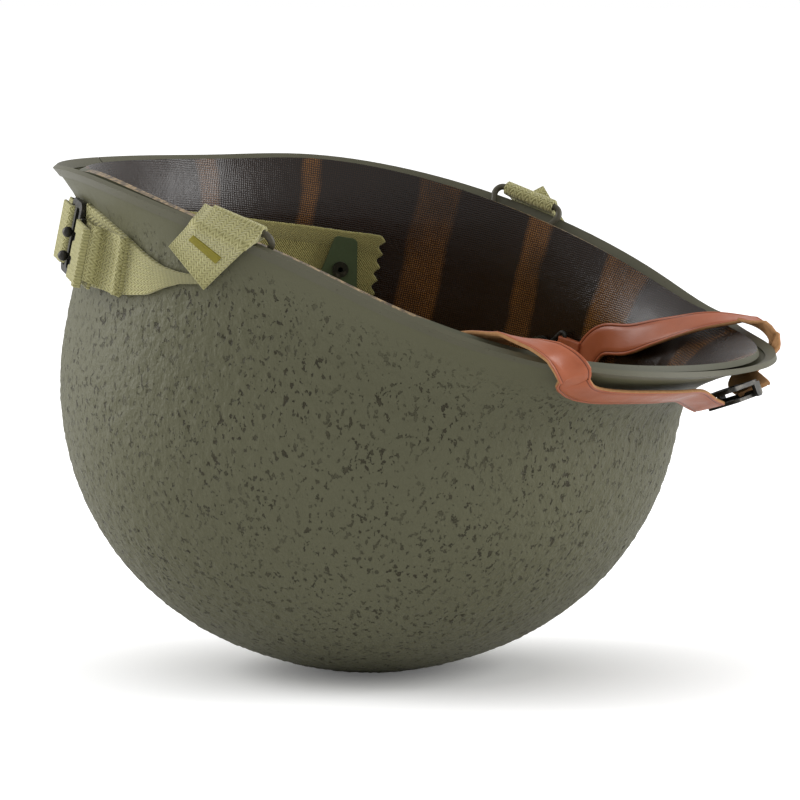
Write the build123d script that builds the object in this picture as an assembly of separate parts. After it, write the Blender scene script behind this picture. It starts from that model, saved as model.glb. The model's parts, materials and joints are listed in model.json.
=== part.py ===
from build123d import *
import math
import os

# Steel helmet shell with its resin-canvas liner, lying on its crown. Millimetres and degrees.
# The bowl is drawn crown down: height is measured up from the crown, angle 0 is the visor.

# Steel shell, outside
front_reach = 119.6
rear_reach = 111.0
half_width = 115.0
dome_height = 110.3
rim_height = 172.1
steel_wall = 1.1
front_flare = 34.8
side_flare = 7.1
rear_flare = 17.1
front_flare_height = 27.6
side_flare_height = 23.6
rear_flare_height = 19.5
hub_height = 0.2
dome_power = 2.09
front_plan_power = 2.35
rear_plan_power = 1.95
flare_power = 1.7
front_blend_power = 2.5
rear_blend_power = 1.5
rim_angles = (0, 18, 36, 54, 75, 100, 128, 155, 180)
rim_height_shares = (0.889, 0.885, 0.881, 0.908, 0.964, 0.999, 1.0, 0.956, 0.941)
rest_pitch = 13.0
rest_flat = 0.7
rest_patch_share = 0.95
rest_patch_wall_share = 0.8

# Folded edge band round the steel rim
band_wall = 0.45
band_leg = 3.6
band_seam = 0.7

# Resin-canvas liner
liner_wall = 2.3
liner_gap = 1.6
liner_front_flare = 30.0
liner_side_flare = 1.9
liner_rear_flare = 9.5
liner_front_drop = 2.5
liner_side_drop = 1.0
liner_rear_drop = 0.4
eyelet_bore = 3.2
eyelet_rim = 3.4
eyelet_sheet = 0.5
eyelet_drop = 37.0
eyelet_lift = 0.6

# Swivelling bails and their brackets
bail_angle = 90.0
bail_wire = 2.5
bail_length = 35.0
bail_foot_length = 27.0
bail_height = 9.2
bail_corner = 3.2
bail_lean = 25.0
bail_drop = 3.4
bracket_sheet = 0.8
bracket_width = 16.0
bracket_depth = 15.0
bracket_tube_wall = 0.35
bracket_web = 1.2
pivot_clearance = 0.05

# Chinstrap webbing and its hardware
webbing_width = 22.0
webbing_sheet = 1.5
webbing_play = 0.5
loop_leg = 11.5
loop_lean = 64.0
loop_neck_share = 2.4
tail_length = 19.0
tail_hem = 4.0
catch_bar = 2.5
catch_loop_slot = 3.6
catch_hook_slot = 4.8
catch_sheet = 1.8
catch_corner = 3.4
hook_wire = 2.1
hook_ball = 4.0
hook_prong_gap = 9.0
hook_drop = 2.5
hook_run = 2.5
hook_bend = 1.45
hardware_angle = -136.5
hardware_drop = 24.0
hardware_stand = 6.2

# Suspension webbing inside the liner
band_width = 32.0
band_height = 95.0
band_stand = 1.5
nape_gap = 3.0
nape_end_rise = 2.0
nape_end_angle = 115.5
nape_teeth = 6
nape_tooth = 2.6
washer_angles = (30, 90, 150, 210, 270, 330)
nape_washer_angles = (124.5, 180, 235.5)
nape_rivet_drop = 13.7
washer_height = 27.0
washer_base = 19.0
washer_top = 9.0
washer_sheet = 0.9
washer_corner = 2.2
washer_slot_length = 11.0
washer_slot_width = 3.4
washer_slot_margin = 3.2
washer_gap = 1.9
washer_hole_margin = 13.0
rivet_shank = 3.6
rivet_head = 6.4
rivet_head_sheet = 0.9
rivet_bore = 2.0
fit_gap = 0.3

# Crown straps and their lace
crown_strap_sheet = 1.4
crown_strap_width = 25.6
crown_strap_end_width = 15.0
crown_ring = 24.0
crown_clearance = 26.0
lace = 2.6
lace_corner = 5.0

# Leather sweatband
sweatband_width = 36.0
sweatband_sheet = 1.6
sweatband_stand = 11.0
sweatband_drop = 1.0
clip_width = 9.0
clip_sheet = 0.7
clip_lip = 7.0

# Liner chinstrap in leather
stud_angle = 77.3
stud_rise = 10.4
stud_shank = 3.4
stud_head = 7.4
stud_neck = 4.0
clip_play = 0.35
clip_tilt = 8.0
clip_wire = 1.7
clip_arm = 11.0
clip_base = 21.0
clip_bend = 1.4
leather_width = 12.6
leather_sheet = 1.5
leather_loop_length = 8.8
leather_buckle_angle = 9.5
leather_buckle_drop = 8.5
leather_buckle_stand = 5.2
leather_buckle_length = 17.0
leather_buckle_wall = 1.6
leather_buckle_margin = 2.0
clamp_length = 11.0
clamp_wire = 2.6
clamp_ear = 3.1

ring_sections = 24
seam_angle = 45.0
ribbon_step = 5.0
overrun = 30.0


def blend_shares(angle):
    """Shares of the visor and of the nape shape that a direction takes."""
    c = math.cos(math.radians(angle))
    return max(c, 0) ** front_blend_power, max(-c, 0) ** rear_blend_power


def mix(angle, front, side, rear):
    toward_front, toward_rear = blend_shares(angle)
    return side + (front - side) * toward_front + (rear - side) * toward_rear


def rim_at(angle):
    """Height of the steel rim, a smooth curve through the named shares."""
    turn = abs((angle + 180) % 360 - 180)
    last = len(rim_angles) - 1
    i = max(k for k in range(last) if rim_angles[k] <= turn)

    def slope(k):
        if k in (0, last):
            return 0
        rise = rim_height_shares[k + 1] - rim_height_shares[k - 1]
        return rise / (rim_angles[k + 1] - rim_angles[k - 1])

    span = rim_angles[i + 1] - rim_angles[i]
    t = (turn - rim_angles[i]) / span
    ahead = t * t * (3 - 2 * t)
    share = (1 - ahead) * rim_height_shares[i] + ahead * rim_height_shares[i + 1]
    share += span * t * (1 - t) * ((1 - t) * slope(i) - t * slope(i + 1))
    return share * rim_height


def liner_rim_at(angle):
    return rim_at(angle) - mix(angle, liner_front_drop, liner_side_drop, liner_rear_drop)


def bowl_radius(angle, height, flares, rim):
    c = abs(math.cos(math.radians(angle)))
    s = abs(math.sin(math.radians(angle)))
    forward = math.cos(math.radians(angle)) > 0
    reach = front_reach if forward else rear_reach
    power = front_plan_power if forward else rear_plan_power
    plan = ((c / reach) ** power + (s / half_width) ** power) ** (-1 / power)
    up = min(max(height / dome_height, 0), 1)
    dome = (1 - (1 - up) ** dome_power) ** (1 / dome_power)
    flare = mix(angle, *flares)
    flare_height = mix(angle, front_flare_height, side_flare_height, rear_flare_height)
    beyond = max((height - rim(angle) + flare_height) / flare_height, 0)
    return plan * dome + flare * beyond ** flare_power


def bowl_normal(angle, height, flares, rim):
    """Radial and upward parts of the unit normal that points into the bowl."""
    step = dome_height / 2000
    low = bowl_radius(angle, max(height - step, 0), flares, rim)
    high = bowl_radius(angle, height + step, flares, rim)
    rise = height + step - max(height - step, 0)
    length = math.hypot(high - low, rise)
    return -rise / length, (high - low) / length


def bowl_point(angle, height, inset, flares, rim):
    """Radius and height of the point set in from the bowl along its normal."""
    radial, upward = bowl_normal(angle, height, flares, rim)
    radius = bowl_radius(angle, height, flares, rim)
    return radius + radial * inset, height + upward * inset


steel = ((front_flare, side_flare, rear_flare), rim_at)
liner = ((liner_front_flare, liner_side_flare, liner_rear_flare), liner_rim_at)
liner_outside = steel_wall + liner_gap
liner_inside = liner_outside + liner_wall


def spot(angle, radius, height):
    a = math.radians(angle)
    return Vector(radius * math.cos(a), radius * math.sin(a), height)


def outward(angle):
    return spot(angle, 1, 0)


def along(angle):
    return spot(angle + 90, 1, 0)


# Shares of a wall profile's length at its points, the same all round the bowl
wall_shares = (0, 0.1, 0.2, 0.3, 0.4, 0.5, 0.6, 0.68, 0.75, 0.8, 0.85, 0.9, 0.95, 1)
wall_steps = 240


def wall_points(angle, inset, surface):
    """Points of one wall profile at the named shares of its length, from the hub to the rim."""
    rise = surface[1](angle) - hub_height
    fine = [Vector(*bowl_point(angle, hub_height + rise * (k / wall_steps) ** 2, inset, *surface))
            for k in range(wall_steps + 1)]
    lengths = [0]
    for before, after in zip(fine, fine[1:]):
        lengths.append(lengths[-1] + (after - before).length)
    points = []
    k = 0
    for share in wall_shares:
        reach = share * lengths[-1]
        while k < wall_steps - 1 and lengths[k + 1] < reach:
            k += 1
        t = (reach - lengths[k]) / (lengths[k + 1] - lengths[k])
        here = fine[k] + (fine[k + 1] - fine[k]) * t
        points.append(spot(angle, here.X, here.Y))
    return points


def curve(points, shares):
    return Edge.make_spline(points, parameters=shares)


def wall_section(angle, outside, inside, surface):
    """Closed outline of a wall between two insets, in the plane at this angle."""
    floor = bowl_point(0, hub_height, outside, *surface)[1]
    hub = bowl_point(angle, hub_height, outside, *surface)[0]
    outer = [spot(angle, hub, floor)] + wall_points(angle, outside, surface)[1:]
    inner = [spot(angle, hub, floor + inside - outside)] + wall_points(angle, inside, surface)[1:]
    return Wire([
        curve(outer, wall_shares),
        Edge.make_line(outer[-1], inner[-1]),
        curve(inner[::-1], [1 - share for share in wall_shares[::-1]]),
        Edge.make_line(inner[0], outer[0]),
    ])


def ring(section, sections=ring_sections):
    wires = [section(seam_angle + 360 * i / sections) for i in range(sections)]
    return Solid.make_loft(wires + wires[:1])


def bowl_wall(outside, inside, surface):
    """A whole bowl: the wall lofted round the axis, with its hub filled at the crown."""
    wall = ring(lambda angle: wall_section(angle, outside, inside, surface))
    hub = Face(Wire(wall.edges().group_by(Axis.Z)[0]))
    return wall + extrude(hub, amount=inside - outside, dir=(0, 0, 1))


def wall_plane(angle, height, inset, surface=liner):
    """Plane that touches the wall at an inset, with z out of the bowl."""
    near = (angle - 1, angle, angle + 1)
    before, here, after = [spot(a, *bowl_point(a, height, inset, *surface)) for a in near]
    radial, upward = bowl_normal(angle, height, *surface)
    up_wall = spot(angle, upward, -radial)
    x_dir = (after - before).normalized()
    return Plane(origin=here, x_dir=x_dir, z_dir=x_dir.cross(up_wall))


def four_sided(corners):
    return Wire([Edge.make_line(corners[k], corners[(k + 1) % 4]) for k in range(4)])


def between(stations):
    """The stations with more between them, on one smooth line and turning evenly."""
    points = [point for point, across in stations]
    chords = [(after - before).length for before, after in zip(points, points[1:])]
    total = sum(chords)
    shares = [sum(chords[:k]) / total for k in range(len(points))]
    line = curve(points, shares)
    places = []
    for k, chord in enumerate(chords):
        steps = max(round(chord / ribbon_step), 1)
        for i in range(steps):
            t = i / steps
            turned = stations[k][1] * (1 - t) + stations[k + 1][1] * t
            places.append((line @ (shares[k] + (shares[k + 1] - shares[k]) * t), turned))
    return places + stations[-1:]


def ribbon(stations, width, sheet):
    """Flat strap through stations, each a point and the direction of its width."""
    places = between(stations)
    points = [point for point, across in places]
    outlines = []
    for k, (point, across) in enumerate(places):
        run = (points[min(k + 1, len(points) - 1)] - points[max(k - 1, 0)]).normalized()
        across = (across - run * across.dot(run)).normalized()
        through = run.cross(across)
        half, skin = across * (width / 2), through * (sheet / 2)
        outlines.append(four_sided([point - half - skin, point + half - skin,
                                    point + half + skin, point - half + skin]))
    return Solid.make_loft(outlines, ruled=True)


def outside_station(angle, drop, stand, turn):
    """Strap station outside the steel shell, a drop below its rim; turn 90 lays it across."""
    height = rim_at(angle) - drop
    radial, upward = bowl_normal(angle, height, *steel)
    radius, level = bowl_point(angle, height, -stand, *steel)
    up_wall = spot(angle, upward, -radial)
    a = math.radians(turn)
    return spot(angle, radius, level), up_wall * math.cos(a) + along(angle) * math.sin(a)


def inside_station(angle, drop, stand, turn):
    """Strap station inside the liner, a drop below the liner rim."""
    height = liner_rim_at(angle) - drop
    radial, upward = bowl_normal(angle, height, *liner)
    radius, level = bowl_point(angle, height, liner_inside + stand, *liner)
    up_wall = spot(angle, upward, -radial)
    a = math.radians(turn)
    return spot(angle, radius, level), up_wall * math.cos(a) + along(angle) * math.sin(a)


def rim_station(angle, out, rise, turn):
    """Strap station measured out from and above the steel rim's outer edge."""
    height = rim_at(angle)
    radius = bowl_radius(angle, height, *steel)
    a = math.radians(turn)
    across = outward(angle) * math.cos(a) + along(angle) * math.sin(a)
    return spot(angle, radius + out, height + rise), across


# Steel shell and its edge band

def pressed_flat(bowl):
    """The bowl with a small flat pressed into its crown, at the same wall, where it rests."""
    tilted = Rot(0, rest_pitch, 0) * bowl
    under = tilted.bounding_box().min.Z + rest_flat
    above = (Align.CENTER, Align.CENTER, Align.MAX)
    tilted -= Pos(0, 0, under) * Box(half_width, half_width, half_width, align=above)
    flat = tilted.faces().sort_by(Axis.Z)[0]
    radius = rest_patch_share * flat.bounding_box().size.X / 2
    patch = Cylinder(radius, rest_patch_wall_share * steel_wall, align=above)
    tilted += Pos(flat.center().X, flat.center().Y, under + steel_wall) * patch
    return Rot(0, -rest_pitch, 0) * tilted


steel_shell = pressed_flat(bowl_wall(0, steel_wall, steel))


def edge_band_section(angle):
    rim = rim_at(angle)
    radial, upward = bowl_normal(angle, rim, *steel)
    drops = [band_leg * share * -radial for share in (1, 0.5, 0)]
    outer = [bowl_point(angle, rim - d, -band_wall, *steel) for d in drops]
    inner = [bowl_point(angle, rim - d, steel_wall + band_wall, *steel) for d in reversed(drops)]
    tip = (upward * band_wall, -radial * band_wall)
    outer.append((outer[-1][0] + tip[0], outer[-1][1] + tip[1]))
    inner.insert(0, (inner[0][0] + tip[0], inner[0][1] + tip[1]))
    corners = [spot(angle, *p) for p in outer + inner]
    return Wire([Edge.make_line(corners[k], corners[(k + 1) % len(corners)]) for k in range(len(corners))])


seam_cut = Pos(-rear_reach - rear_flare, 0, rim_at(180)) * Box(overrun, band_seam, overrun)
rim_band = ring(edge_band_section) - steel_shell - seam_cut


# Bails: the wire loop, the tube bracket it turns in and the sewn webbing loop on it

tube_radius = bail_wire / 2 + pivot_clearance + bracket_tube_wall


def bail_seat(side):
    """Angle, radius and height of a bail's pivot, where its tube just clears the liner."""
    angle = side * bail_angle
    height = rim_at(angle) - bail_drop
    liner_face = bowl_radius(angle, height, *liner) - liner_outside
    return angle, liner_face + fit_gap + tube_radius, height


def bail_run(side):
    """Directions along and up from the rim at a bail, square to the way out of the bowl."""
    angle = side * bail_angle
    reach = math.degrees(bracket_width / 2 / half_width)
    climb = (rim_at(angle + reach) - rim_at(angle - reach)) / bracket_width
    run = (along(angle) + Vector(0, 0, climb)).normalized()
    return run, outward(angle).cross(run)


def bail_plane(side):
    """Plane of the leaning bail: x along its pivot, y up the bail."""
    angle, radius, height = bail_seat(side)
    lean = math.radians(bail_lean)
    run, up_rim = bail_run(side)
    up_bail = up_rim * math.cos(lean) + outward(angle) * math.sin(lean)
    return Plane(origin=spot(angle, radius, height), x_dir=run, z_dir=run.cross(up_bail))


def make_bail(side):
    foot, half = (bail_foot_length - bail_wire) / 2, (bail_length - bail_wire) / 2
    corners = [(-foot, 0), (foot, 0), (half, bail_height), (-half, bail_height)]
    plane = bail_plane(side)
    path = FilletPolyline(*[plane.from_local_coords(Vector(x, y, 0)) for x, y in corners],
                          radius=bail_corner, close=True)
    return sweep(Plane(origin=path @ 0, z_dir=path % 0) * Circle(bail_wire / 2), path=path)


quarter_shares = (0, 0.25, 0.5, 0.75, 1)


def make_bail_bracket(side):
    angle, radius, height = bail_seat(side)
    run, up_rim = bail_run(side)
    seat = Plane(origin=spot(angle, radius, height), x_dir=outward(angle), z_dir=run)
    tube = seat * Cylinder(tube_radius, bracket_width)
    bore = seat * Cylinder(bail_wire / 2 + pivot_clearance, bracket_width + overrun)

    def skin(a):
        rim = rim_at(a)
        levels = [rim - band_leg - bracket_depth * share for share in (1, 0.75, 0.5, 0.25, 0)]
        outer = [spot(a, *bowl_point(a, z, steel_wall / 2, *steel)) for z in levels]
        inner = [spot(a, *bowl_point(a, z, steel_wall + bracket_sheet, *steel)) for z in reversed(levels)]
        return Wire([curve(outer, quarter_shares), Edge.make_line(outer[-1], inner[0]),
                     curve(inner, quarter_shares), Edge.make_line(inner[-1], outer[0])])

    reach = math.degrees(bracket_width / 2 / radius)
    plate = Solid.make_loft([skin(angle + reach * share) for share in (-1, -0.5, 0, 0.5, 1)])
    gap = bowl_radius(angle, height, *steel) - steel_wall - radius
    foot = (tube_radius - bracket_web / 2) * (-up_rim).dot(seat.y_dir)
    web = seat * Pos(gap / 2, foot, 0) * Box(gap, bracket_web, bracket_width)
    return plate + tube + web - bore - steel_shell


def loop_frame(side):
    """Plane across a bail's bar: x points out of the bowl, y up, z along the bar."""
    plane = bail_plane(side)
    bar = plane.from_local_coords(Vector(0, bail_height, 0))
    x_dir = outward(side * bail_angle)
    return Plane(origin=bar, x_dir=x_dir, z_dir=x_dir.cross(bail_run(side)[1]))


def make_strap_loop(side):
    """Webbing folded over the bar, both layers sewn together below it."""
    inner = bail_wire / 2 + pivot_clearance
    outer = inner + webbing_sheet
    neck = loop_neck_share * outer
    corners = [(-outer, 0), (outer, 0), (webbing_sheet, -neck), (-webbing_sheet, -neck)]
    taper = make_face(Polyline(*corners, close=True))
    leg = Pos(0, -(neck + loop_leg) / 2) * Rectangle(2 * webbing_sheet, loop_leg - neck)
    profile = Circle(outer) + taper + leg - Circle(inner)
    turned = Rot(0, 0, loop_lean) * profile
    return extrude(loop_frame(side) * turned, amount=webbing_width / 2, both=True)


bails = {side: make_bail(side) for side in (-1, 1)}
brackets = {side: make_bail_bracket(side) for side in (-1, 1)}
strap_loops = {side: make_strap_loop(side) for side in (-1, 1)}


def loop_end(side):
    """Middle of the sewn loop's lower end and the direction of its width."""
    lean = math.radians(loop_lean)
    frame = loop_frame(side)
    end = frame.from_local_coords(Vector(loop_leg * math.sin(lean), -loop_leg * math.cos(lean), 0))
    return end, frame.z_dir * -side


# Chinstrap: two webbing runs that meet behind the shell at a hook and its catch

hardware = Plane(
    origin=outside_station(hardware_angle, hardware_drop, hardware_stand, 0)[0],
    x_dir=along(hardware_angle), z_dir=outward(hardware_angle))
slot_length = webbing_width + 2 * webbing_play
catch_height = slot_length + 2 * catch_bar
catch_width = 3 * catch_bar + catch_loop_slot + catch_hook_slot
fold_inner = catch_sheet / 2 + pivot_clearance
hook_bar_offset = catch_width / 2 + hook_wire / 2 + pivot_clearance + webbing_sheet + fit_gap


hook_seat = Plane(origin=hardware.from_local_coords(Vector(0, -hook_drop, 0)),
                  x_dir=hardware.x_dir, z_dir=hardware.z_dir)


def make_catch():
    """Stamped catch: one slot for its webbing loop and one for the hook's two prongs."""
    plate = RectangleRounded(catch_width, catch_height, catch_corner)
    left = -catch_width / 2 + catch_bar
    loop_slot = Pos(left + catch_loop_slot / 2, 0) * RectangleRounded(
        catch_loop_slot, slot_length, catch_loop_slot / 3)
    right = catch_width / 2 - catch_bar
    hook_slot = Pos(right - catch_hook_slot / 2, 0) * RectangleRounded(
        catch_hook_slot, slot_length, catch_hook_slot / 3)
    body = extrude(plate - loop_slot - hook_slot, amount=catch_sheet / 2, both=True)
    corners = body.edges().filter_by(GeomType.CIRCLE).group_by(SortBy.RADIUS)[-1]
    return hardware * fillet(corners, catch_sheet / 4)


def make_hook():
    """Wire hook: a bar in the strap's fold and two prongs that end in balls."""
    slot_middle = catch_width / 2 - catch_bar - catch_hook_slot / 2
    under = -(catch_sheet + hook_wire) / 2 - fit_gap
    over = catch_sheet / 2 + hook_ball / 2 + fit_gap
    bar = Pos(hook_bar_offset, 0, 0) * Rot(90, 0, 0) * Cylinder(hook_wire / 2, slot_length)
    hook = bar
    for share in (-0.5, 0.5):
        y = hook_prong_gap * share
        path = FilletPolyline(
            (hook_bar_offset, y, 0), (hook_bar_offset - hook_run, y, under),
            (slot_middle, y, under), (slot_middle, y, over), radius=hook_bend)
        hook += sweep(Plane(origin=path @ 0, z_dir=path % 0) * Circle(hook_wire / 2), path=path)
        hook += Pos(slot_middle, y, over) * Sphere(hook_ball / 2)
    return hook_seat * hook


def strap_fold(bar_half, length, out_length, hem):
    """Profile of webbing folded round a bar at the origin, its layers running to +X."""
    outer = bar_half + webbing_sheet
    fold = (Circle(outer) - Circle(bar_half)) - Pos(outer, 0) * Rectangle(2 * outer, 2 * outer)
    middle = bar_half + webbing_sheet / 2
    under = Pos(length / 2, -middle) * Rectangle(length, webbing_sheet)
    over = Pos(out_length / 2, middle) * Rectangle(out_length, webbing_sheet)
    profile = fold + under + over
    if hem:
        profile += Pos(out_length - hem / 2, middle + webbing_sheet / 2) * RectangleRounded(
            hem, 2 * webbing_sheet, webbing_sheet / 3)
    return profile


def make_left_tail():
    """Near strap's end: round the hook's bar and back on itself to a rolled hem."""
    profile = strap_fold(hook_wire / 2 + pivot_clearance, tail_length, tail_length, tail_hem)
    across = Plane(origin=(hook_bar_offset, 0, 0), x_dir=(1, 0, 0), z_dir=(0, -1, 0))
    tail = extrude(across * profile, amount=webbing_width / 2, both=True)
    notch_half = hook_wire / 2 + webbing_play
    for share in (-0.5, 0.5):
        tail -= Pos(hook_bar_offset + hook_wire - overrun / 2, hook_prong_gap * share, 0) * Box(
            overrun, 2 * notch_half, overrun)
    return hook_seat * tail


def make_right_end():
    """Far strap's end: a short sewn loop round the catch's outer bar."""
    bar = -(catch_width - catch_bar) / 2
    reach = catch_bar + webbing_sheet + loop_leg / 2
    profile = Pos(fit_gap - catch_bar / 2, 0) * strap_fold(fold_inner, reach, reach, 0)
    across = Plane(origin=(bar, 0, 0), x_dir=(-1, 0, 0), z_dir=(0, 1, 0))
    end = hardware * extrude(across * profile, amount=webbing_width / 2, both=True)
    return end, bar - reach + catch_bar / 2 - fit_gap


left_tail = make_left_tail()
right_end, right_end_x = make_right_end()

# Stations of the runs: angle, drop and stand in shares of the webbing width, turn
left_run_shares = ((-93, 0.5, 0.3, -80), (-97, 0.82, 0.21, -62), (-101, 1.0, 0.18, -38),
                   (-105.5, 1.1, 0.16, -14), (-111, 1.14, 0.17, -2), (-116, 1.18, 0.17, 0))
right_run_shares = ((94, 0.6, 0.28, 78), (100, 0.95, 0.2, 54), (107, 1.12, 0.17, 24),
                    (118, 1.16, 0.17, 0), (132, 1.16, 0.17, 0), (148, 1.14, 0.17, 0),
                    (164, 1.12, 0.19, 0), (180, 1.1, 0.19, 0), (195, 1.08, 0.2, 0))


def webbing_place(angle, drop_share, stand_share, turn):
    return outside_station(angle, drop_share * webbing_width, stand_share * webbing_width, turn)


def hardware_place(seat, x, z):
    return seat.from_local_coords(Vector(x, 0, z)), seat.y_dir


def straight_in(place, step):
    """A second station a step before the first, so a run leaves its seat squarely."""
    point, across = place
    return point + step, across


def make_left_run():
    start = loop_end(-1)
    leg = (start[0] - loop_frame(-1).origin).normalized() * webbing_sheet
    inner_layer = -(hook_wire / 2 + pivot_clearance + webbing_sheet / 2)
    end = hardware_place(hook_seat, hook_bar_offset + tail_length, inner_layer)
    step = hardware.x_dir * 2 * webbing_sheet
    places = [webbing_place(*row) for row in left_run_shares]
    return ribbon([start, straight_in(start, leg)] + places + [straight_in(end, step), end],
                  webbing_width, webbing_sheet)


def make_right_run():
    start = loop_end(1)
    leg = (start[0] - loop_frame(1).origin).normalized() * webbing_sheet
    end = hardware_place(hardware, right_end_x, -(fold_inner + webbing_sheet / 2))
    step = hardware.x_dir * -2 * webbing_sheet
    places = [webbing_place(*row) for row in right_run_shares]
    return ribbon([start, straight_in(start, leg)] + places + [straight_in(end, step), end],
                  webbing_width, webbing_sheet)


# Liner: bowl, eyelet, studs and chinstrap clips

def radial_bore(angle, height, bore):
    plane = wall_plane(angle, height, liner_outside)
    return plane * Cylinder(bore / 2, overrun)


liner_bowl = bowl_wall(liner_outside, liner_inside, liner)
eyelet_height = rim_at(0) - eyelet_drop
band_top = band_height + band_width / 2
stud_height = band_top + stud_rise
nape_top = band_top + nape_gap + band_width
nape_rivet_height = nape_top - nape_rivet_drop
for angle, height in ([(0, eyelet_height), (stud_angle, stud_height), (-stud_angle, stud_height)]
                      + [(a, band_height) for a in washer_angles]
                      + [(a, nape_rivet_height) for a in nape_washer_angles]):
    bore = eyelet_bore + 2 * eyelet_sheet if angle == 0 else rivet_shank
    liner_bowl -= radial_bore(angle, height, bore)


def make_eyelet():
    """Rolled brass eyelet through the liner's front."""
    seat = wall_plane(0, eyelet_height, liner_outside)
    length = liner_wall + 2 * eyelet_lift
    barrel = Pos(0, 0, -liner_wall / 2) * Cylinder(eyelet_bore / 2 + eyelet_sheet, length)
    outer = Pos(0, 0, eyelet_lift) * Cylinder(eyelet_rim, eyelet_sheet)
    inner = Pos(0, 0, -liner_wall - eyelet_lift) * Cylinder(eyelet_rim, eyelet_sheet)
    bore = Cylinder(eyelet_bore / 2, overrun)
    return seat * (barrel + outer + inner - bore)


def tubular_rivet(angle, height, grip, head, clearance):
    """Tubular rivet through the liner: outer head, shank, inner rolled head and bore."""
    seat = wall_plane(angle, height, liner_outside)
    outer = Pos(0, 0, clearance + rivet_head_sheet / 2) * Cylinder(head / 2, rivet_head_sheet)
    total = clearance + liner_wall + grip
    shank = Pos(0, 0, clearance - total / 2) * Cylinder(rivet_shank / 2, total)
    inner = Pos(0, 0, -liner_wall - grip - rivet_head_sheet / 2) * Cylinder(head / 2, rivet_head_sheet)
    bore = Pos(0, 0, -liner_wall - grip - rivet_head_sheet) * Cylinder(
        rivet_bore / 2, 2 * (grip + rivet_head_sheet))
    return seat * (outer + shank + inner - bore)


# Suspension: webbing bands, A-shaped washers and rivets

half_shares = (0, 0.5, 1)


def band_section(angle, low, high, near, far):
    """Four-sided section of a band that follows the liner's inside wall."""
    levels = [low, (low + high) / 2, high]
    outer = [spot(angle, *bowl_point(angle, z, liner_inside + near, *liner)) for z in levels]
    inner = [spot(angle, *bowl_point(angle, z, liner_inside + far, *liner)) for z in reversed(levels)]
    return Wire([curve(outer, half_shares), Edge.make_line(outer[-1], inner[0]),
                 curve(inner, half_shares), Edge.make_line(inner[-1], outer[0])])


def head_band_section(angle):
    return band_section(angle, band_top - band_width, band_top, band_stand, band_stand + webbing_sheet)


def bore_band(band, angles, height):
    for angle in angles:
        band -= radial_bore(angle, height, rivet_shank)
    return band


def nape_section(angle):
    top = nape_top + nape_end_rise * ((angle - 180) / (180 - nape_end_angle)) ** 2
    return band_section(angle, top - band_width, top, band_stand, band_stand + webbing_sheet)


def pinked_cut(side):
    """Cutter that leaves saw teeth at one end of the nape band."""
    pitch = band_width / nape_teeth
    low = nape_top - band_width - pitch
    zigzag = []
    for k in range(2 * nape_teeth + 5):
        zigzag.append((nape_tooth * (k % 2), low + pitch * k / 2))
    top = zigzag[-1][1]
    outline = zigzag + [(-overrun, top), (-overrun, low)]
    plane = Plane(origin=spot(side * nape_end_angle, half_width / 2, 0),
                  x_dir=along(side * nape_end_angle) * side, z_dir=outward(side * nape_end_angle) * -side)
    sign = -1 if plane.y_dir.Z < 0 else 1
    face = make_face(Polyline(*[(x, sign * z) for x, z in outline], close=True))
    return extrude(plane * face, amount=half_width, both=True)


head_band = bore_band(ring(head_band_section), washer_angles, band_height)
nape_sections = 18
nape_sweep = 2 * (180 - nape_end_angle)
nape_band = Solid.make_loft([nape_section(nape_end_angle + nape_sweep * k / nape_sections)
                             for k in range(nape_sections + 1)])
nape_band = bore_band(nape_band, nape_washer_angles, nape_rivet_height)
nape_band = nape_band - pinked_cut(1) - pinked_cut(-1)


def make_washer(angle, height, stand):
    """A-shaped washer: rivet hole in its narrow top, slot for the webbing in its base."""
    foot = -(washer_height - washer_hole_margin)
    outline = Polyline((-washer_base / 2, foot), (washer_base / 2, foot),
                       (washer_top / 2, washer_hole_margin), (-washer_top / 2, washer_hole_margin), close=True)
    plate = fillet(make_face(outline).vertices(), washer_corner)
    slot = Pos(0, foot + washer_slot_margin + washer_slot_width / 2) * RectangleRounded(
        washer_slot_length, washer_slot_width, washer_slot_width / 3)
    face = plate - Circle(rivet_shank / 2) - slot
    seat = wall_plane(angle, height, liner_outside)
    return seat * Pos(0, 0, -liner_wall - stand) * extrude(face, amount=-washer_sheet)


washer_stand = band_stand + webbing_sheet + washer_gap
rivet_grip = washer_stand + washer_sheet
outer_head_gap = fit_gap


def rivet_group(angles, height):
    return [tubular_rivet(a, height, rivet_grip, rivet_head, outer_head_gap) for a in angles]


head_washers = [make_washer(a, band_height, washer_stand) for a in washer_angles]
nape_washers = [make_washer(a, nape_rivet_height, washer_stand) for a in nape_washer_angles]
head_rivets = rivet_group(washer_angles, band_height)
nape_rivets = rivet_group(nape_washer_angles, nape_rivet_height)


# Shares of a crown strap's reach and of its drop where its line bends
crown_strap_shares = ((0.985, 0.86), (0.93, 0.62), (0.72, 0.32))


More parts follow.
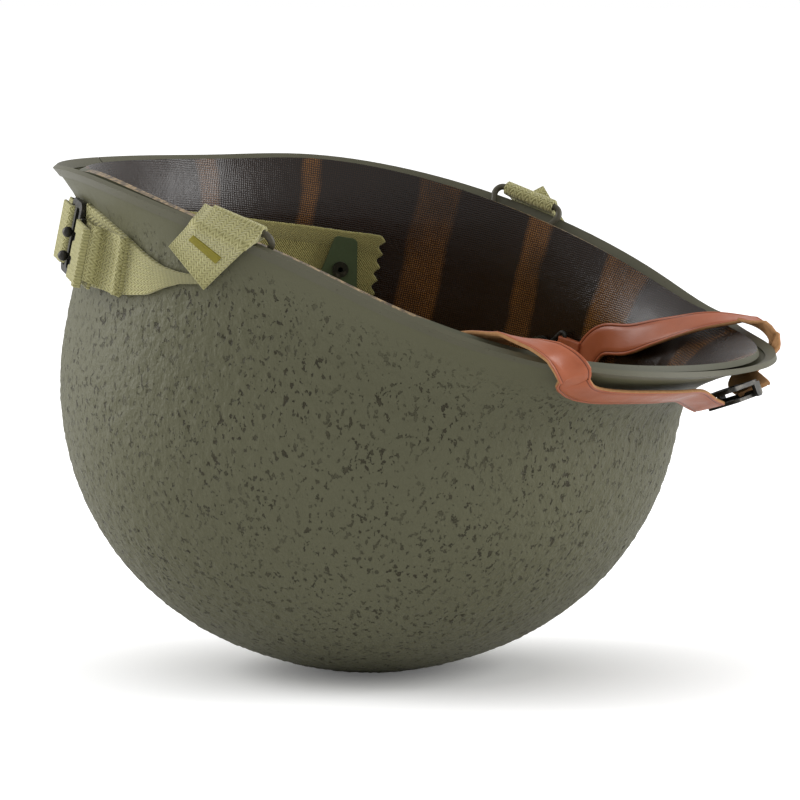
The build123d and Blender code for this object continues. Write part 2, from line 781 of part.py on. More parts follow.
def make_crown_strap(angle):
    """Half of a crown strap: from a washer down the wall and in to the lace at the crown."""
    seat_height = band_height - washer_height + washer_hole_margin
    stand = washer_stand + washer_sheet + fit_gap + crown_strap_sheet / 2
    eye = lace / 2 + pivot_clearance
    eye_end = (crown_ring, crown_clearance)
    top = bowl_point(angle, seat_height, liner_inside + stand, *liner)
    drop = seat_height - crown_clearance
    path = [top] + [(top[0] * x, crown_clearance + drop * z) for x, z in crown_strap_shares]
    path.append((crown_ring + eye + crown_strap_sheet / 2, crown_clearance))
    plane = Plane(origin=(0, 0, 0), x_dir=outward(angle), z_dir=-along(angle))
    line = Spline(*path)
    stations = []
    for k in range(9):
        point = line @ (k / 8)
        width = crown_strap_width + (crown_strap_end_width - crown_strap_width) * k / 8
        tangent = line % (k / 8)
        skin = Vector(-tangent.Y, tangent.X) * (crown_strap_sheet / 2)
        corners = []
        for through, side in ((-1, -1), (-1, 1), (1, 1), (1, -1)):
            flat = point + skin * through
            corners.append(plane.from_local_coords(flat) + along(angle) * (side * width / 2))
        stations.append(four_sided(corners))
    strap = Solid.make_loft(stations)
    tube = plane * (Pos(*eye_end) * (Circle(eye + crown_strap_sheet) - Circle(eye)))
    tube = extrude(tube, amount=crown_strap_end_width / 2, both=True)
    hole = extrude(plane * (Pos(*eye_end) * Circle(eye)), amount=band_width, both=True)
    return strap - hole + tube


crown_straps = {name: [make_crown_strap(a) for a in pair]
                for name, pair in (("front", (30, 330)), ("side", (90, 270)), ("rear", (150, 210)))}


def make_lace():
    """Lace drawn into a hexagon through the eyes of the six straps."""
    corner = crown_ring / math.cos(math.radians(30))
    points = [spot(60 * k, corner, crown_clearance) for k in range(6)]
    path = FilletPolyline(*points, radius=lace_corner, close=True)
    return sweep(Plane(origin=path @ 0, z_dir=path % 0) * Circle(lace / 2), path=path)


sweatband_top = band_top - sweatband_drop


def sweatband_section(angle):
    return band_section(angle, sweatband_top - sweatband_width, sweatband_top,
                        sweatband_stand, sweatband_stand + sweatband_sheet)


sweatband = ring(sweatband_section)
clip_angles = [a + 30 for a in washer_angles]


def make_sweatband_clip(angle):
    """Spring clip riveted to the sweatband, hooked over the head band's edge."""
    top = max(band_top, sweatband_top) + fit_gap
    levels = (top - clip_lip, top)

    def skin(a):
        near = liner_inside + band_stand - fit_gap
        far = liner_inside + sweatband_stand - fit_gap
        rows = ((levels[0], near - clip_sheet), (top + clip_sheet, near - clip_sheet),
                (top + clip_sheet, far), (levels[0] - clip_lip, far),
                (levels[0] - clip_lip, far - clip_sheet), (top, far - clip_sheet),
                (top, near), (levels[0], near))
        outline = [spot(a, *bowl_point(a, z, inset, *liner)) for z, inset in rows]
        return Wire([Edge.make_line(outline[k], outline[(k + 1) % 8]) for k in range(8)])

    reach = math.degrees(clip_width / 2 / half_width)
    return Solid.make_loft([skin(angle - reach), skin(angle), skin(angle + reach)])


# Liner chinstrap: studs, wire clips, leather halves and the buckle under the visor

def stud_plane(side):
    return wall_plane(side * stud_angle, stud_height, liner_outside)


def make_stud(side):
    seat = stud_plane(side)
    outer = Pos(0, 0, fit_gap + rivet_head_sheet / 2) * Cylinder(rivet_head / 2, rivet_head_sheet)
    length = fit_gap + liner_wall + stud_neck
    shank = Pos(0, 0, fit_gap - length / 2) * Cylinder(stud_shank / 2, length)
    beyond = liner_wall + stud_neck + rivet_head_sheet / 2
    head = Pos(0, 0, -beyond) * Cylinder(stud_head / 2, rivet_head_sheet)
    bore = Pos(0, 0, -liner_wall - stud_neck - rivet_head_sheet) * Cylinder(rivet_bore / 2, 2 * stud_neck)
    return seat * (outer + shank + head - bore)


def clip_frame(side):
    """Plane of a wire clip: x from the stud towards the visor, z out of the bowl."""
    seat = stud_plane(side)
    origin = seat.from_local_coords(Vector(0, 0, -liner_wall - stud_neck / 2))
    tilt = math.radians(clip_tilt)
    forward = along(side * stud_angle) * -side
    x_dir = forward * math.cos(tilt) - seat.z_dir * math.sin(tilt)
    z_dir = seat.z_dir * math.cos(tilt) + forward * math.sin(tilt)
    return Plane(origin=origin, x_dir=x_dir, z_dir=z_dir)


def make_wire_clip(side):
    """Triangular wire clip: an eye round the stud's neck and a base bar for the strap."""
    eye_inner = stud_shank / 2 + clip_play
    eye = extrude(Circle(eye_inner + clip_wire) - Circle(eye_inner), amount=clip_wire / 2, both=True)
    start = eye_inner + clip_wire / 2
    path = FilletPolyline((start, 0), (clip_arm, clip_base / 2), (clip_arm, -clip_base / 2), (start, 0),
                          radius=clip_bend)
    wire = sweep(Plane(origin=path @ 0, z_dir=path % 0) * Circle(clip_wire / 2), path=path)
    neck_hole = Cylinder(eye_inner, overrun)
    return clip_frame(side) * (eye + wire - neck_hole)


def make_leather_loop(side):
    """Leather folded round the clip's base bar and stitched to itself."""
    inner = clip_wire / 2 + pivot_clearance
    profile = strap_fold_of(inner, leather_sheet, leather_loop_length)
    frame = clip_frame(side)
    bar = frame.from_local_coords(Vector(clip_arm, 0, 0))
    across = Plane(origin=bar, x_dir=frame.x_dir, z_dir=frame.y_dir)
    return extrude(across * profile, amount=leather_width / 2, both=True)


def strap_fold_of(bar_half, sheet, length):
    """Closed fold round a bar: ring, taper and two layers stitched together."""
    outer = bar_half + sheet
    neck = 2 * outer
    taper = make_face(Polyline((0, -outer), (neck, -sheet), (neck, sheet), (0, outer), close=True))
    leg = Pos((neck + length) / 2, 0) * Rectangle(length - neck, 2 * sheet)
    return Circle(outer) + taper + leg - Circle(bar_half)


# Leather halves: angle, two distances in shares of the leather width, turn of the strap
right_leather_inside_shares = ((64, 2.3, 0.26, 0), (57, 1.83, 0.28, 5), (50, 1.31, 0.32, 12),
                        (44, 0.83, 0.36, 25), (39.5, 0.36, 0.38, 45))
right_leather_rim_shares = ((36.5, -0.32, 0.42, 75), (33.5, -0.04, 0.46, 85), (31, 0.24, 0.3, 92),
                     (29, 0.3, -0.08, 95))
right_leather_under_shares = ((26, 0.36, 0.26, 108), (22, 0.52, 0.3, 125), (18.5, 0.6, 0.34, 140))
left_leather_inside_shares = ((-61, 2.15, 0.27, 178), (-55, 1.5, 0.31, 165), (-49.5, 0.82, 0.36, 140),
                       (-45, 0.3, 0.38, 115))
left_leather_rim_shares = ((-41.5, -0.32, 0.42, 95), (-38.5, 0, 0.46, 90), (-36, 0.26, 0.28, 88),
                    (-34, 0.34, -0.1, 80))
left_leather_under_shares = ((-31.5, 0.42, 0.33, 60), (-27.5, 0.6, 0.31, 35), (-22, 0.66, 0.29, 12),
                      (-15, 0.68, 0.27, 0), (-8, 0.72, 0.28, 0), (-1.5, 0.8, 0.32, 0))


def leather_stations(rows, place):
    return [place(angle, first * leather_width, second * leather_width, turn)
            for angle, first, second, turn in rows]


def leather_start(side):
    """The end of the clip's leather loop, where a leather half begins."""
    frame = clip_frame(side)
    end = frame.from_local_coords(Vector(clip_arm + leather_loop_length + fit_gap, 0, 0))
    return end, frame.y_dir * -1


def make_leather(side, inside_rows, rim_rows, under_rows, end):
    start = leather_start(side)
    step = clip_frame(side).x_dir * 2 * leather_sheet
    stations = [start, (start[0] + step, start[1])]
    stations += leather_stations(inside_rows, inside_station)
    stations += leather_stations(rim_rows, rim_station)
    stations += leather_stations(under_rows, outside_station)
    return ribbon(stations + end, leather_width, leather_sheet)


def leather_buckle_frame():
    """Plane of the buckle under the visor: x towards the far side, z away from the shell."""
    origin, up_wall = outside_station(leather_buckle_angle, leather_buckle_drop, leather_buckle_stand, 0)
    x_dir = (along(leather_buckle_angle) * 2 + up_wall).normalized()
    z_dir = along(leather_buckle_angle).cross(up_wall)
    return Plane(origin=origin, x_dir=x_dir, z_dir=z_dir)


leather_buckle = leather_buckle_frame()
leather_buckle_width = leather_width + 2 * (leather_buckle_margin + leather_buckle_wall)
layer_gap = leather_buckle_wall / 2 + pivot_clearance
clamp_rise = leather_buckle_wall / 2 + leather_sheet + clamp_wire / 2 + fit_gap
clamp_pin_x = leather_buckle_length / 2 - leather_buckle_wall - clamp_wire / 4


def make_leather_buckle():
    """Flat buckle frame with two ears that hold the clamp's pin."""
    frame = RectangleRounded(leather_buckle_length, leather_buckle_width, 2 * leather_buckle_wall)
    window = RectangleRounded(leather_buckle_length - 2 * leather_buckle_wall,
                              leather_buckle_width - 2 * leather_buckle_wall, leather_buckle_wall)
    bar = Pos(-leather_buckle_length / 6, 0) * Rectangle(
        leather_buckle_wall, leather_buckle_width - leather_buckle_wall)
    body = extrude(frame - window + bar, amount=leather_buckle_wall / 2, both=True)
    for share in (-0.5, 0.5):
        y = (leather_buckle_width - leather_buckle_wall) * share
        body += Pos(clamp_pin_x, y, clamp_rise / 2) * Box(clamp_ear, leather_buckle_wall, clamp_rise)
        body += Pos(clamp_pin_x, y, clamp_rise) * Rot(90, 0, 0) * Cylinder(clamp_ear / 2, leather_buckle_wall)
    pin = Pos(clamp_pin_x, 0, clamp_rise) * Rot(90, 0, 0) * Cylinder(clamp_wire / 4, leather_buckle_width)
    return leather_buckle * (body + pin)


def make_leather_clamp():
    """Lever that presses the leather on the buckle: rolled barrel and a flat tongue."""
    width = leather_buckle_width - 2 * leather_buckle_wall - 2 * fit_gap
    barrel = Rot(90, 0, 0) * Cylinder(clamp_wire / 2, width)
    tongue = Pos(-clamp_length / 2, 0, clamp_wire / 4) * Box(clamp_length, width, clamp_wire / 2)
    tongue = fillet(tongue.edges().filter_by(Axis.Z).group_by(Axis.X)[0], leather_buckle_wall)
    bore = Rot(90, 0, 0) * Cylinder(clamp_wire / 4 + pivot_clearance, width + overrun)
    return leather_buckle * Pos(clamp_pin_x, 0, clamp_rise) * (barrel + tongue - bore)


def buckle_place(x, z):
    return leather_buckle.from_local_coords(Vector(x, 0, z)), leather_buckle.y_dir


def buckle_ends(side):
    """Where a leather half enters the buckle, above its frame, and the step before."""
    outer = side * leather_buckle_length / 2
    level = layer_gap + leather_sheet / 2
    return [buckle_place(outer + side * leather_width / 2, level), buckle_place(outer, level)]


def flipped(places):
    return [(point, across * -1) for point, across in places]


right_leather = make_leather(1, right_leather_inside_shares, right_leather_rim_shares,
                             right_leather_under_shares, flipped(buckle_ends(1)))
left_leather = make_leather(-1, left_leather_inside_shares, left_leather_rim_shares,
                            left_leather_under_shares, buckle_ends(-1))

# Output

def to_rest(shape):
    return Rot(0, rest_pitch, 0) * shape


nodes = {
    "steel_shell": steel_shell,
    "rim_band": rim_band,
    "left_bail": bails[-1],
    "right_bail": bails[1],
    "left_bail_bracket": brackets[-1],
    "right_bail_bracket": brackets[1],
    "left_strap_loop": strap_loops[-1],
    "right_strap_loop": strap_loops[1],
    "left_strap_run": make_left_run(),
    "right_strap_run": make_right_run(),
    "left_strap_tail": left_tail,
    "right_strap_end": right_end,
    "chinstrap_catch": make_catch(),
    "chinstrap_hook": make_hook(),
    "liner_bowl": liner_bowl,
    "liner_eyelet": make_eyelet(),
    "head_band": head_band,
    "nape_band": nape_band,
    "head_band_washers": Compound(head_washers),
    "nape_band_washers": Compound(nape_washers),
    "head_band_rivets": Compound(head_rivets),
    "nape_band_rivets": Compound(nape_rivets),
    "crown_strap_front": Compound(crown_straps["front"]),
    "crown_strap_side": Compound(crown_straps["side"]),
    "crown_strap_rear": Compound(crown_straps["rear"]),
    "crown_lace": make_lace(),
    "sweatband": sweatband,
    "sweatband_clips": Compound([make_sweatband_clip(a) for a in clip_angles]),
    "left_strap_stud": make_stud(-1),
    "right_strap_stud": make_stud(1),
    "left_wire_clip": make_wire_clip(-1),
    "right_wire_clip": make_wire_clip(1),
    "left_leather_loop": make_leather_loop(-1),
    "right_leather_loop": make_leather_loop(1),
    "left_leather_strap": left_leather,
    "right_leather_strap": right_leather,
    "leather_buckle": make_leather_buckle(),
    "leather_clamp": make_leather_clamp(),
}

if __name__ == "__main__":
    os.makedirs("parts", exist_ok=True)
    placed = {name: to_rest(shape) for name, shape in nodes.items()}
    box = Compound(list(placed.values())).bounding_box()
    lowest = placed["steel_shell"].faces().sort_by(Axis.Z)[0].center().Z
    shift = Pos(-box.center().X, -box.center().Y, -lowest)
    print("shift", shift.position)
    for name, shape in placed.items():
        export_step(shift * shape, f"parts/{name}.step")
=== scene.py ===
"""Looks of a steel pot helmet with its liner, lying on its crown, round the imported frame. Metres."""

import heapq
import json
import math
import random

import bmesh
import bpy
import numpy as np
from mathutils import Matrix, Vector, noise
from mathutils.bvhtree import BVHTree


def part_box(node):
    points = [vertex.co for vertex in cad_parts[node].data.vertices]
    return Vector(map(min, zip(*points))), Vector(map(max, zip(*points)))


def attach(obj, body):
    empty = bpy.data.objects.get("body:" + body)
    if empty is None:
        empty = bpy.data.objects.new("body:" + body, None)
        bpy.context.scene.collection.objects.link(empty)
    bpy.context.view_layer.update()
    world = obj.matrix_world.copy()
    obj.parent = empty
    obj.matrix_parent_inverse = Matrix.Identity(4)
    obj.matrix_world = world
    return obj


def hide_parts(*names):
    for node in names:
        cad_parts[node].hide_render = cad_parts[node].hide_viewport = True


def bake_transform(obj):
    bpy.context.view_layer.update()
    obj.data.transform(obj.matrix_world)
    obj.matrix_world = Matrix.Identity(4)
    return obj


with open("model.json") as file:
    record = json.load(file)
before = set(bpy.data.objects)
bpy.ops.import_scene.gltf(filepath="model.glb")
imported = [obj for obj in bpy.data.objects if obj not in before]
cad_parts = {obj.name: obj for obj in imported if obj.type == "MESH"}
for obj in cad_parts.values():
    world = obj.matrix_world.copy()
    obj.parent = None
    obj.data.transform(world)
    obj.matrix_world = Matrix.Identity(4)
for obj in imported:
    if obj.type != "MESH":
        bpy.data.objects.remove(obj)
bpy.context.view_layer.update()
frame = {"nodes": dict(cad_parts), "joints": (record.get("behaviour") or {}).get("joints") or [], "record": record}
nodes = frame["nodes"]
joints = {joint["name"]: joint for joint in frame["joints"]}

MM = 0.001
TURN = 2 * math.pi
UP = Vector(joints["liner_lift_out"]["axis"])
SIDE = Vector((0, 1, 0))
FORWARD = SIDE.cross(UP)
OPENING = Vector(frame["record"]["mounts"][0]["pos_m"])
MIDDLE_DEPTH = 60
BOWL_MIDDLE = OPENING - UP * MIDDLE_DEPTH * MM

# Middle radii of the liner, its suspension and the shell
LINER_RADIUS = 108 * MM
BAND_RADIUS = 105 * MM
SHELL_RADIUS = 125 * MM

# The photograph's camera, which also places the patches of webbing drawn in its pixels
PHOTO_SIZE = 800
LENS = 228.7
SENSOR = 36
CAMERA_PLACE = Vector((0.8641, -1.6979, 0.2596))
CAMERA_TARGET = Vector((-0.0086, 0.0075, 0.1011))


# Helpers: colours, shader trees, meshes and places


def srgb(red, green, blue):
    """A colour given as 0-255 display values, as the linear colour that shaders take."""
    def linear(c):
        c /= 255
        return c / 12.92 if c <= 0.04045 else ((c + 0.055) / 1.055) ** 2.4
    return (linear(red), linear(green), linear(blue), 1)


class Tree:
    """A material with short calls for its nodes."""

    def __init__(self, name, roughness=0.5, metallic=0.0, specular=0.5):
        self.material = bpy.data.materials.new(name)
        self.material.use_nodes = True
        self.nodes = self.material.node_tree.nodes
        self.links = self.material.node_tree.links
        self.shader = self.nodes["Principled BSDF"]
        self.shader.inputs["Roughness"].default_value = roughness
        self.shader.inputs["Metallic"].default_value = metallic
        self.shader.inputs["Specular IOR Level"].default_value = specular

    def put(self, value, socket):
        if isinstance(value, bpy.types.NodeSocket):
            self.links.new(value, socket)
        elif value is not None:
            socket.default_value = value

    def node(self, kind, output, *values, **settings):
        made = self.nodes.new(kind)
        for key, value in settings.items():
            setattr(made, key, value)
        for k, value in enumerate(values):
            self.put(value, made.inputs[k])
        return made.outputs[output]

    def position(self):
        return self.node("ShaderNodeTexCoord", "Object")

    def uv(self):
        return self.node("ShaderNodeUVMap", "UV", uv_map="strap")

    def math(self, operation, first, second=None, third=None):
        return self.node("ShaderNodeMath", 0, first, second, third, operation=operation)

    def dot(self, vector, direction):
        return self.node("ShaderNodeVectorMath", "Value", vector, tuple(direction),
                         operation="DOT_PRODUCT")

    def split(self, vector):
        made = self.nodes.new("ShaderNodeSeparateXYZ")
        self.put(vector, made.inputs[0])
        return made.outputs

    def texture(self, kind, output, vector, **settings):
        made = self.nodes.new(kind)
        self.put(vector, made.inputs["Vector"])
        for name, value in settings.items():
            made.inputs[name].default_value = value
        return made.outputs[output]

    def noise(self, vector, scale, detail=2.0, rough=0.5):
        return self.texture("ShaderNodeTexNoise", "Fac", vector,
                            Scale=scale, Detail=detail, Roughness=rough)

    def voronoi(self, vector, scale):
        """Distance to the nearest of scattered points."""
        return self.texture("ShaderNodeTexVoronoi", "Distance", vector, Scale=scale)

    def steps(self, value, *stops):
        """Colour ramp through (place, grey or colour) stops."""
        made = self.nodes.new("ShaderNodeValToRGB")
        self.put(value, made.inputs[0])
        ramp = made.color_ramp
        while len(ramp.elements) < len(stops):
            ramp.elements.new(1)
        for element, (place, shade) in zip(ramp.elements, stops):
            element.position = place
            element.color = shade if isinstance(shade, tuple) else (shade, shade, shade, 1)
        return made.outputs["Color"]

    def mix(self, share, first, second):
        made = self.nodes.new("ShaderNodeMix")
        made.data_type = "RGBA"
        self.put(share, made.inputs["Factor"])
        self.put(first, made.inputs[6])
        self.put(second, made.inputs[7])
        return made.outputs[2]

    def bump(self, height, depth, strength):
        made = self.nodes.new("ShaderNodeBump")
        made.inputs["Strength"].default_value = strength
        made.inputs["Distance"].default_value = depth
        self.put(height, made.inputs["Height"])
        return made.outputs["Normal"]

    def finish(self, colour, roughness=None, normal=None):
        self.put(colour, self.shader.inputs["Base Color"])
        self.put(roughness, self.shader.inputs["Roughness"])
        self.put(normal, self.shader.inputs["Normal"])
        return self.material


def dress(obj, *materials):
    """The object with these materials in place of its own."""
    obj.data.materials.clear()
    for material in materials:
        obj.data.materials.append(material)
    return obj


def new_object(name, data):
    """An object in the scene with this mesh, curve, light or camera."""
    obj = bpy.data.objects.new(name, data)
    bpy.context.scene.collection.objects.link(obj)
    return obj


def mesh_object(name, points, faces):
    mesh = bpy.data.meshes.new(name)
    mesh.from_pydata([tuple(p) for p in points], [], faces)
    mesh.update()
    return new_object(name, mesh)


def smooth(obj, angle=None):
    """The object shaded smooth, with edges sharper than the angle in degrees kept."""
    obj.data.polygons.foreach_set("use_smooth", [True] * len(obj.data.polygons))
    if angle is not None:
        bpy.context.view_layer.objects.active = obj
        obj.select_set(True)
        bpy.ops.object.shade_auto_smooth(angle=math.radians(angle))
        obj.select_set(False)
    return obj


def evaluated_mesh(obj):
    """A new mesh of the object as its modifiers or curve settings make it."""
    graph = bpy.context.evaluated_depsgraph_get()
    return bpy.data.meshes.new_from_object(obj.evaluated_get(graph))


def apply_modifiers(obj):
    mesh = evaluated_mesh(obj)
    obj.modifiers.clear()
    obj.data = mesh
    return obj


def face_outward(obj):
    """The object with the normals of its closed mesh turned outward."""
    bm = bmesh.new()
    bm.from_mesh(obj.data)
    bmesh.ops.recalc_face_normals(bm, faces=bm.faces)
    bm.to_mesh(obj.data)
    bm.free()
    return obj


def ray_tree(*objects):
    """One ray-cast tree over the meshes of the objects."""
    points, faces = [], []
    for obj in objects:
        offset = len(points)
        points += [v.co.copy() for v in obj.data.vertices]
        faces += [tuple(i + offset for i in p.vertices) for p in obj.data.polygons]
    return BVHTree.FromPolygons(points, faces)


def float_attribute(obj, name, values):
    """A value for each vertex, which a material reads by its name."""
    attribute = obj.data.attributes.new(name, "FLOAT", "POINT")
    attribute.data.foreach_set("value", np.array(values, np.float32))


def strap_coordinates(obj, place_of):
    """Lengths along and across the cloth for each vertex number, which the weave reads."""
    layer = obj.data.uv_layers.new(name="strap")
    for loop in obj.data.loops:
        layer.data[loop.index].uv = place_of(loop.vertex_index)


def middle_of(node):
    """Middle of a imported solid's box."""
    low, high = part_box(node)
    return (low + high) / 2


# Materials


def helmet_angle(tree, place):
    """Direction round the bowl, in turns, 0 at the visor and positive on the far side."""
    x = tree.math("SUBTRACT", tree.dot(place, FORWARD), FORWARD.dot(OPENING))
    y = tree.math("SUBTRACT", tree.dot(place, SIDE), SIDE.dot(OPENING))
    return tree.math("DIVIDE", tree.math("ARCTAN2", y, x), TURN)


def cork_paint():
    """Matt olive paint over fine cork: flat patches between small ragged pits, the pits painted darker as painted
    shade.
    """
    tree = Tree("cork_paint", specular=0.22)
    place = tree.position()
    stretch = tree.node("ShaderNodeMapping", 0, place)
    stretch.node.inputs["Scale"].default_value = (1.2, 1.2, 0.85)
    pits = tree.steps(tree.noise(stretch, 430, 3, 0.62), (0.375, 0.0), (0.41, 1.0))
    flakes = tree.steps(tree.noise(stretch, 640, 2, 0.5), (0.38, 0.0), (0.62, 1.0))
    grain = tree.noise(place, 2200, 2)
    crowd = tree.steps(tree.noise(place, 75, 3), (0.4, 0.0), (0.6, 1.0))
    zone = tree.node("ShaderNodeAttribute", "Fac", attribute_name="cork")
    amount = tree.math("MULTIPLY", tree.math("MULTIPLY_ADD", crowd, 0.65, 0.35), zone)
    sunk = tree.math("MULTIPLY", tree.math("SUBTRACT", 1.0, pits), amount)
    kept = tree.math("SUBTRACT", 1.0, sunk)
    rise = tree.math("MULTIPLY", tree.math("MULTIPLY", flakes, 0.16), zone)
    height = tree.math("ADD", tree.math("ADD", kept, rise), tree.math("MULTIPLY", grain, 0.07))
    base = tree.mix(tree.noise(place, 9, 3), srgb(90, 89, 68), srgb(99, 98, 76))
    # Pits take a darker colour: painted shade in the pits, on top of their bump.
    colour = tree.mix(kept, srgb(58, 54, 38), base)
    return tree.finish(colour, 0.5, tree.bump(height, 0.8 * MM, 1.0))


def plain_paint(name="olive_paint", light=(94, 94, 76), dark=(82, 82, 65), rough=0.5):
    """Smooth olive paint with small scuffs."""
    tree = Tree(name, specular=0.3)
    place = tree.position()
    cloud = tree.noise(place, 60, 4)
    scuffs = tree.steps(tree.noise(place, 700, 4, 0.7), (0.3, 0.0), (0.36, 1.0))
    colour = tree.mix(scuffs, srgb(66, 60, 46), tree.mix(cloud, srgb(*dark), srgb(*light)))
    return tree.finish(colour, rough, tree.bump(tree.noise(place, 900, 3), 0.08 * MM, 0.5))


# Lighter canvas stripes inside the liner: middle and half width in degrees round the bowl
STRIPES = ((156.5, 2.8), (133.5, 2.2), (107.0, 4.6), (84.0, 3.1), (63.5, 5.2), (38.0, 3.5),
           (13.0, 3.0), (-14.0, 3.5), (-37.0, 4.5), (-61.0, 3.0), (-86.0, 4.8), (-109.0, 3.2),
           (-133.0, 4.0), (-157.0, 3.2))
STRIPE_FADE = 1.1
THREAD = 0.82 * MM


def resin_canvas():
    """Dark glossy resin over coarse canvas, with amber stripes where the weave shows."""
    tree = Tree("resin_canvas", specular=0.34)
    place = tree.position()
    turn = helmet_angle(tree, place)
    degrees = tree.math("MULTIPLY", turn, 360)
    level = tree.dot(place, UP)
    wobble = tree.math("MULTIPLY", tree.math("SUBTRACT", tree.noise(place, 60, 3), 0.5), 2.4)
    degrees = tree.math("ADD", degrees, wobble)
    stripe = None
    for middle, half in STRIPES:
        away = tree.math("ABSOLUTE", tree.math("SUBTRACT", degrees, middle))
        inside = tree.math("DIVIDE", tree.math("SUBTRACT", half, away), STRIPE_FADE)
        inside = tree.math("MINIMUM", tree.math("MAXIMUM", inside, 0.0), 1.0)
        stripe = inside if stripe is None else tree.math("MAXIMUM", stripe, inside)
    shaken = tree.math("MULTIPLY", tree.noise(place, 500, 2), 1.1)

    def waves(count):
        return tree.math("SINE", tree.math("MULTIPLY", tree.math("ADD", count, shaken), TURN))

    across = waves(tree.math("MULTIPLY", turn, TURN * LINER_RADIUS / THREAD))
    upward = waves(tree.math("DIVIDE", level, THREAD))
    weave = tree.math("MULTIPLY_ADD", tree.math("ADD", across, upward), 0.25, 0.5)
    knots = tree.steps(weave, (0.5, 0.0), (0.86, 1.0))
    patch = tree.steps(tree.noise(place, 35, 3), (0.34, 0.25), (0.62, 1.0))
    shown = tree.math("MULTIPLY", stripe, patch)
    dark = tree.mix(tree.noise(place, 40, 3), srgb(16, 9, 5), srgb(31, 18, 10))
    ground = tree.mix(shown, dark, srgb(62, 36, 14))
    faint = tree.math("MULTIPLY", knots, tree.math("MULTIPLY_ADD", shown, 0.9, 0.05))
    colour = tree.mix(faint, ground, srgb(158, 108, 50))
    rough = tree.steps(tree.noise(place, 50, 3), (0.3, 0.16), (0.7, 0.3))
    height = tree.math("ADD", weave, tree.math("MULTIPLY", tree.noise(place, 240, 3), 1.4))
    made = tree.finish(colour, rough, tree.bump(height, 0.16 * MM, 0.55))
    tree.shader.inputs["Coat Weight"].default_value = 0.12
    tree.shader.inputs["Coat Roughness"].default_value = 0.12
    return made


def raw_edge():
    """Trimmed edge of the liner: tan fibre with dark resin and a little gloss."""
    tree = Tree("raw_edge", specular=0.5)
    place = tree.position()
    torn = tree.steps(tree.noise(place, 420, 4, 0.7), (0.42, 0.0), (0.6, 1.0))
    colour = tree.mix(torn, srgb(84, 72, 56), srgb(168, 142, 104))
    return tree.finish(colour, 0.38, tree.bump(tree.noise(place, 700, 3), 0.25 * MM, 0.8))


def webbing(name, light, dark, rib=3.4, pitch=1.35):
    """Cotton webbing: ribs that slant to and fro from column to column, the low places painted in the dark colour
    as painted shade, sizes in millimetres.
    """
    tree = Tree(name, specular=0.12)
    run, across, _ = tree.split(tree.uv())
    place = tree.position()
    shake = tree.math("MULTIPLY", tree.math("SUBTRACT", tree.noise(place, 600, 2), 0.5), 0.55 * MM)
    column = tree.math("PINGPONG", across, rib * MM / 2)
    slanted = tree.math("ADD", tree.math("ADD", run, shake), column)
    wave = tree.math("SINE", tree.math("MULTIPLY", slanted, TURN / (pitch * MM)))
    rows = tree.math("SINE", tree.math("MULTIPLY", across, TURN / (rib * MM)))
    rows = tree.math("ABSOLUTE", rows)
    yarn = tree.math("MULTIPLY_ADD", wave, 0.5, 0.5)
    height = tree.math("MULTIPLY_ADD", rows, 0.35, yarn)
    fuzz = tree.noise(place, 2600, 3, 0.7)
    height = tree.math("MULTIPLY_ADD", fuzz, 0.45, height)
    # Low places of the weave take the dark colour: painted shade in the hollows.
    hollow_shade = tree.steps(height, (0.2, 0.0), (0.85, 1.0))
    mottled = tree.mix(tree.noise(place, 120, 4), srgb(*light), srgb(*[c * 0.93 for c in light]))
    colour = tree.mix(hollow_shade, srgb(*dark), mottled)
    made = tree.finish(colour, 0.85, tree.bump(height, 0.4 * MM, 0.8))
    tree.shader.inputs["Sheen Weight"].default_value = 0.25
    return made


def leather(name="strap_leather", light=(186, 104, 66), dark=(150, 74, 42), rough=0.36):
    """Smooth reddish leather, a creased line near each edge and a fine grain."""
    tree = Tree(name, specular=0.45)
    place = tree.position()
    cloud = tree.noise(place, 70, 4)
    pores = tree.voronoi(place, 2300)
    colour = tree.mix(cloud, srgb(*dark), srgb(*light))
    crease = tree.node("ShaderNodeAttribute", "Fac", attribute_name="crease")
    colour = tree.mix(crease, colour, srgb(96, 42, 22))
    height = tree.math("MULTIPLY_ADD", tree.noise(place, 900, 4), 0.6, pores)
    gloss = tree.steps(tree.noise(place, 160, 3), (0.3, rough - 0.06), (0.7, rough + 0.1))
    return tree.finish(colour, gloss, tree.bump(height, 0.05 * MM, 0.6))


def flesh_side():
    """Cut edge and back of the leather."""
    tree = Tree("leather_back", specular=0.15)
    place = tree.position()
    colour = tree.mix(tree.noise(place, 600, 4, 0.7), srgb(150, 104, 66), srgb(206, 160, 112))
    return tree.finish(colour, 0.85, tree.bump(tree.noise(place, 1800, 3), 0.2 * MM, 0.7))


def metal(name, colour, worn, roughness, metallic):
    """Dark metal with rubbed patches."""
    tree = Tree(name, metallic=metallic, specular=0.5)
    place = tree.position()
    rub = tree.steps(tree.noise(place, 330, 5, 0.65), (0.5, 0.0), (0.68, 1.0))
    shade = tree.mix(rub, srgb(*colour), srgb(*worn))
    return tree.finish(shade, roughness, tree.bump(tree.noise(place, 900, 3), 0.06 * MM, 0.5))


def thread(name, colour):
    """Cotton thread or cord."""
    tree = Tree(name, specular=0.2)
    place = tree.position()
    shade = tree.mix(tree.noise(place, 900, 2), srgb(*[c * 0.8 for c in colour]), srgb(*colour))
    return tree.finish(shade, 0.7, tree.bump(tree.noise(place, 3000, 2), 0.1 * MM, 0.6))


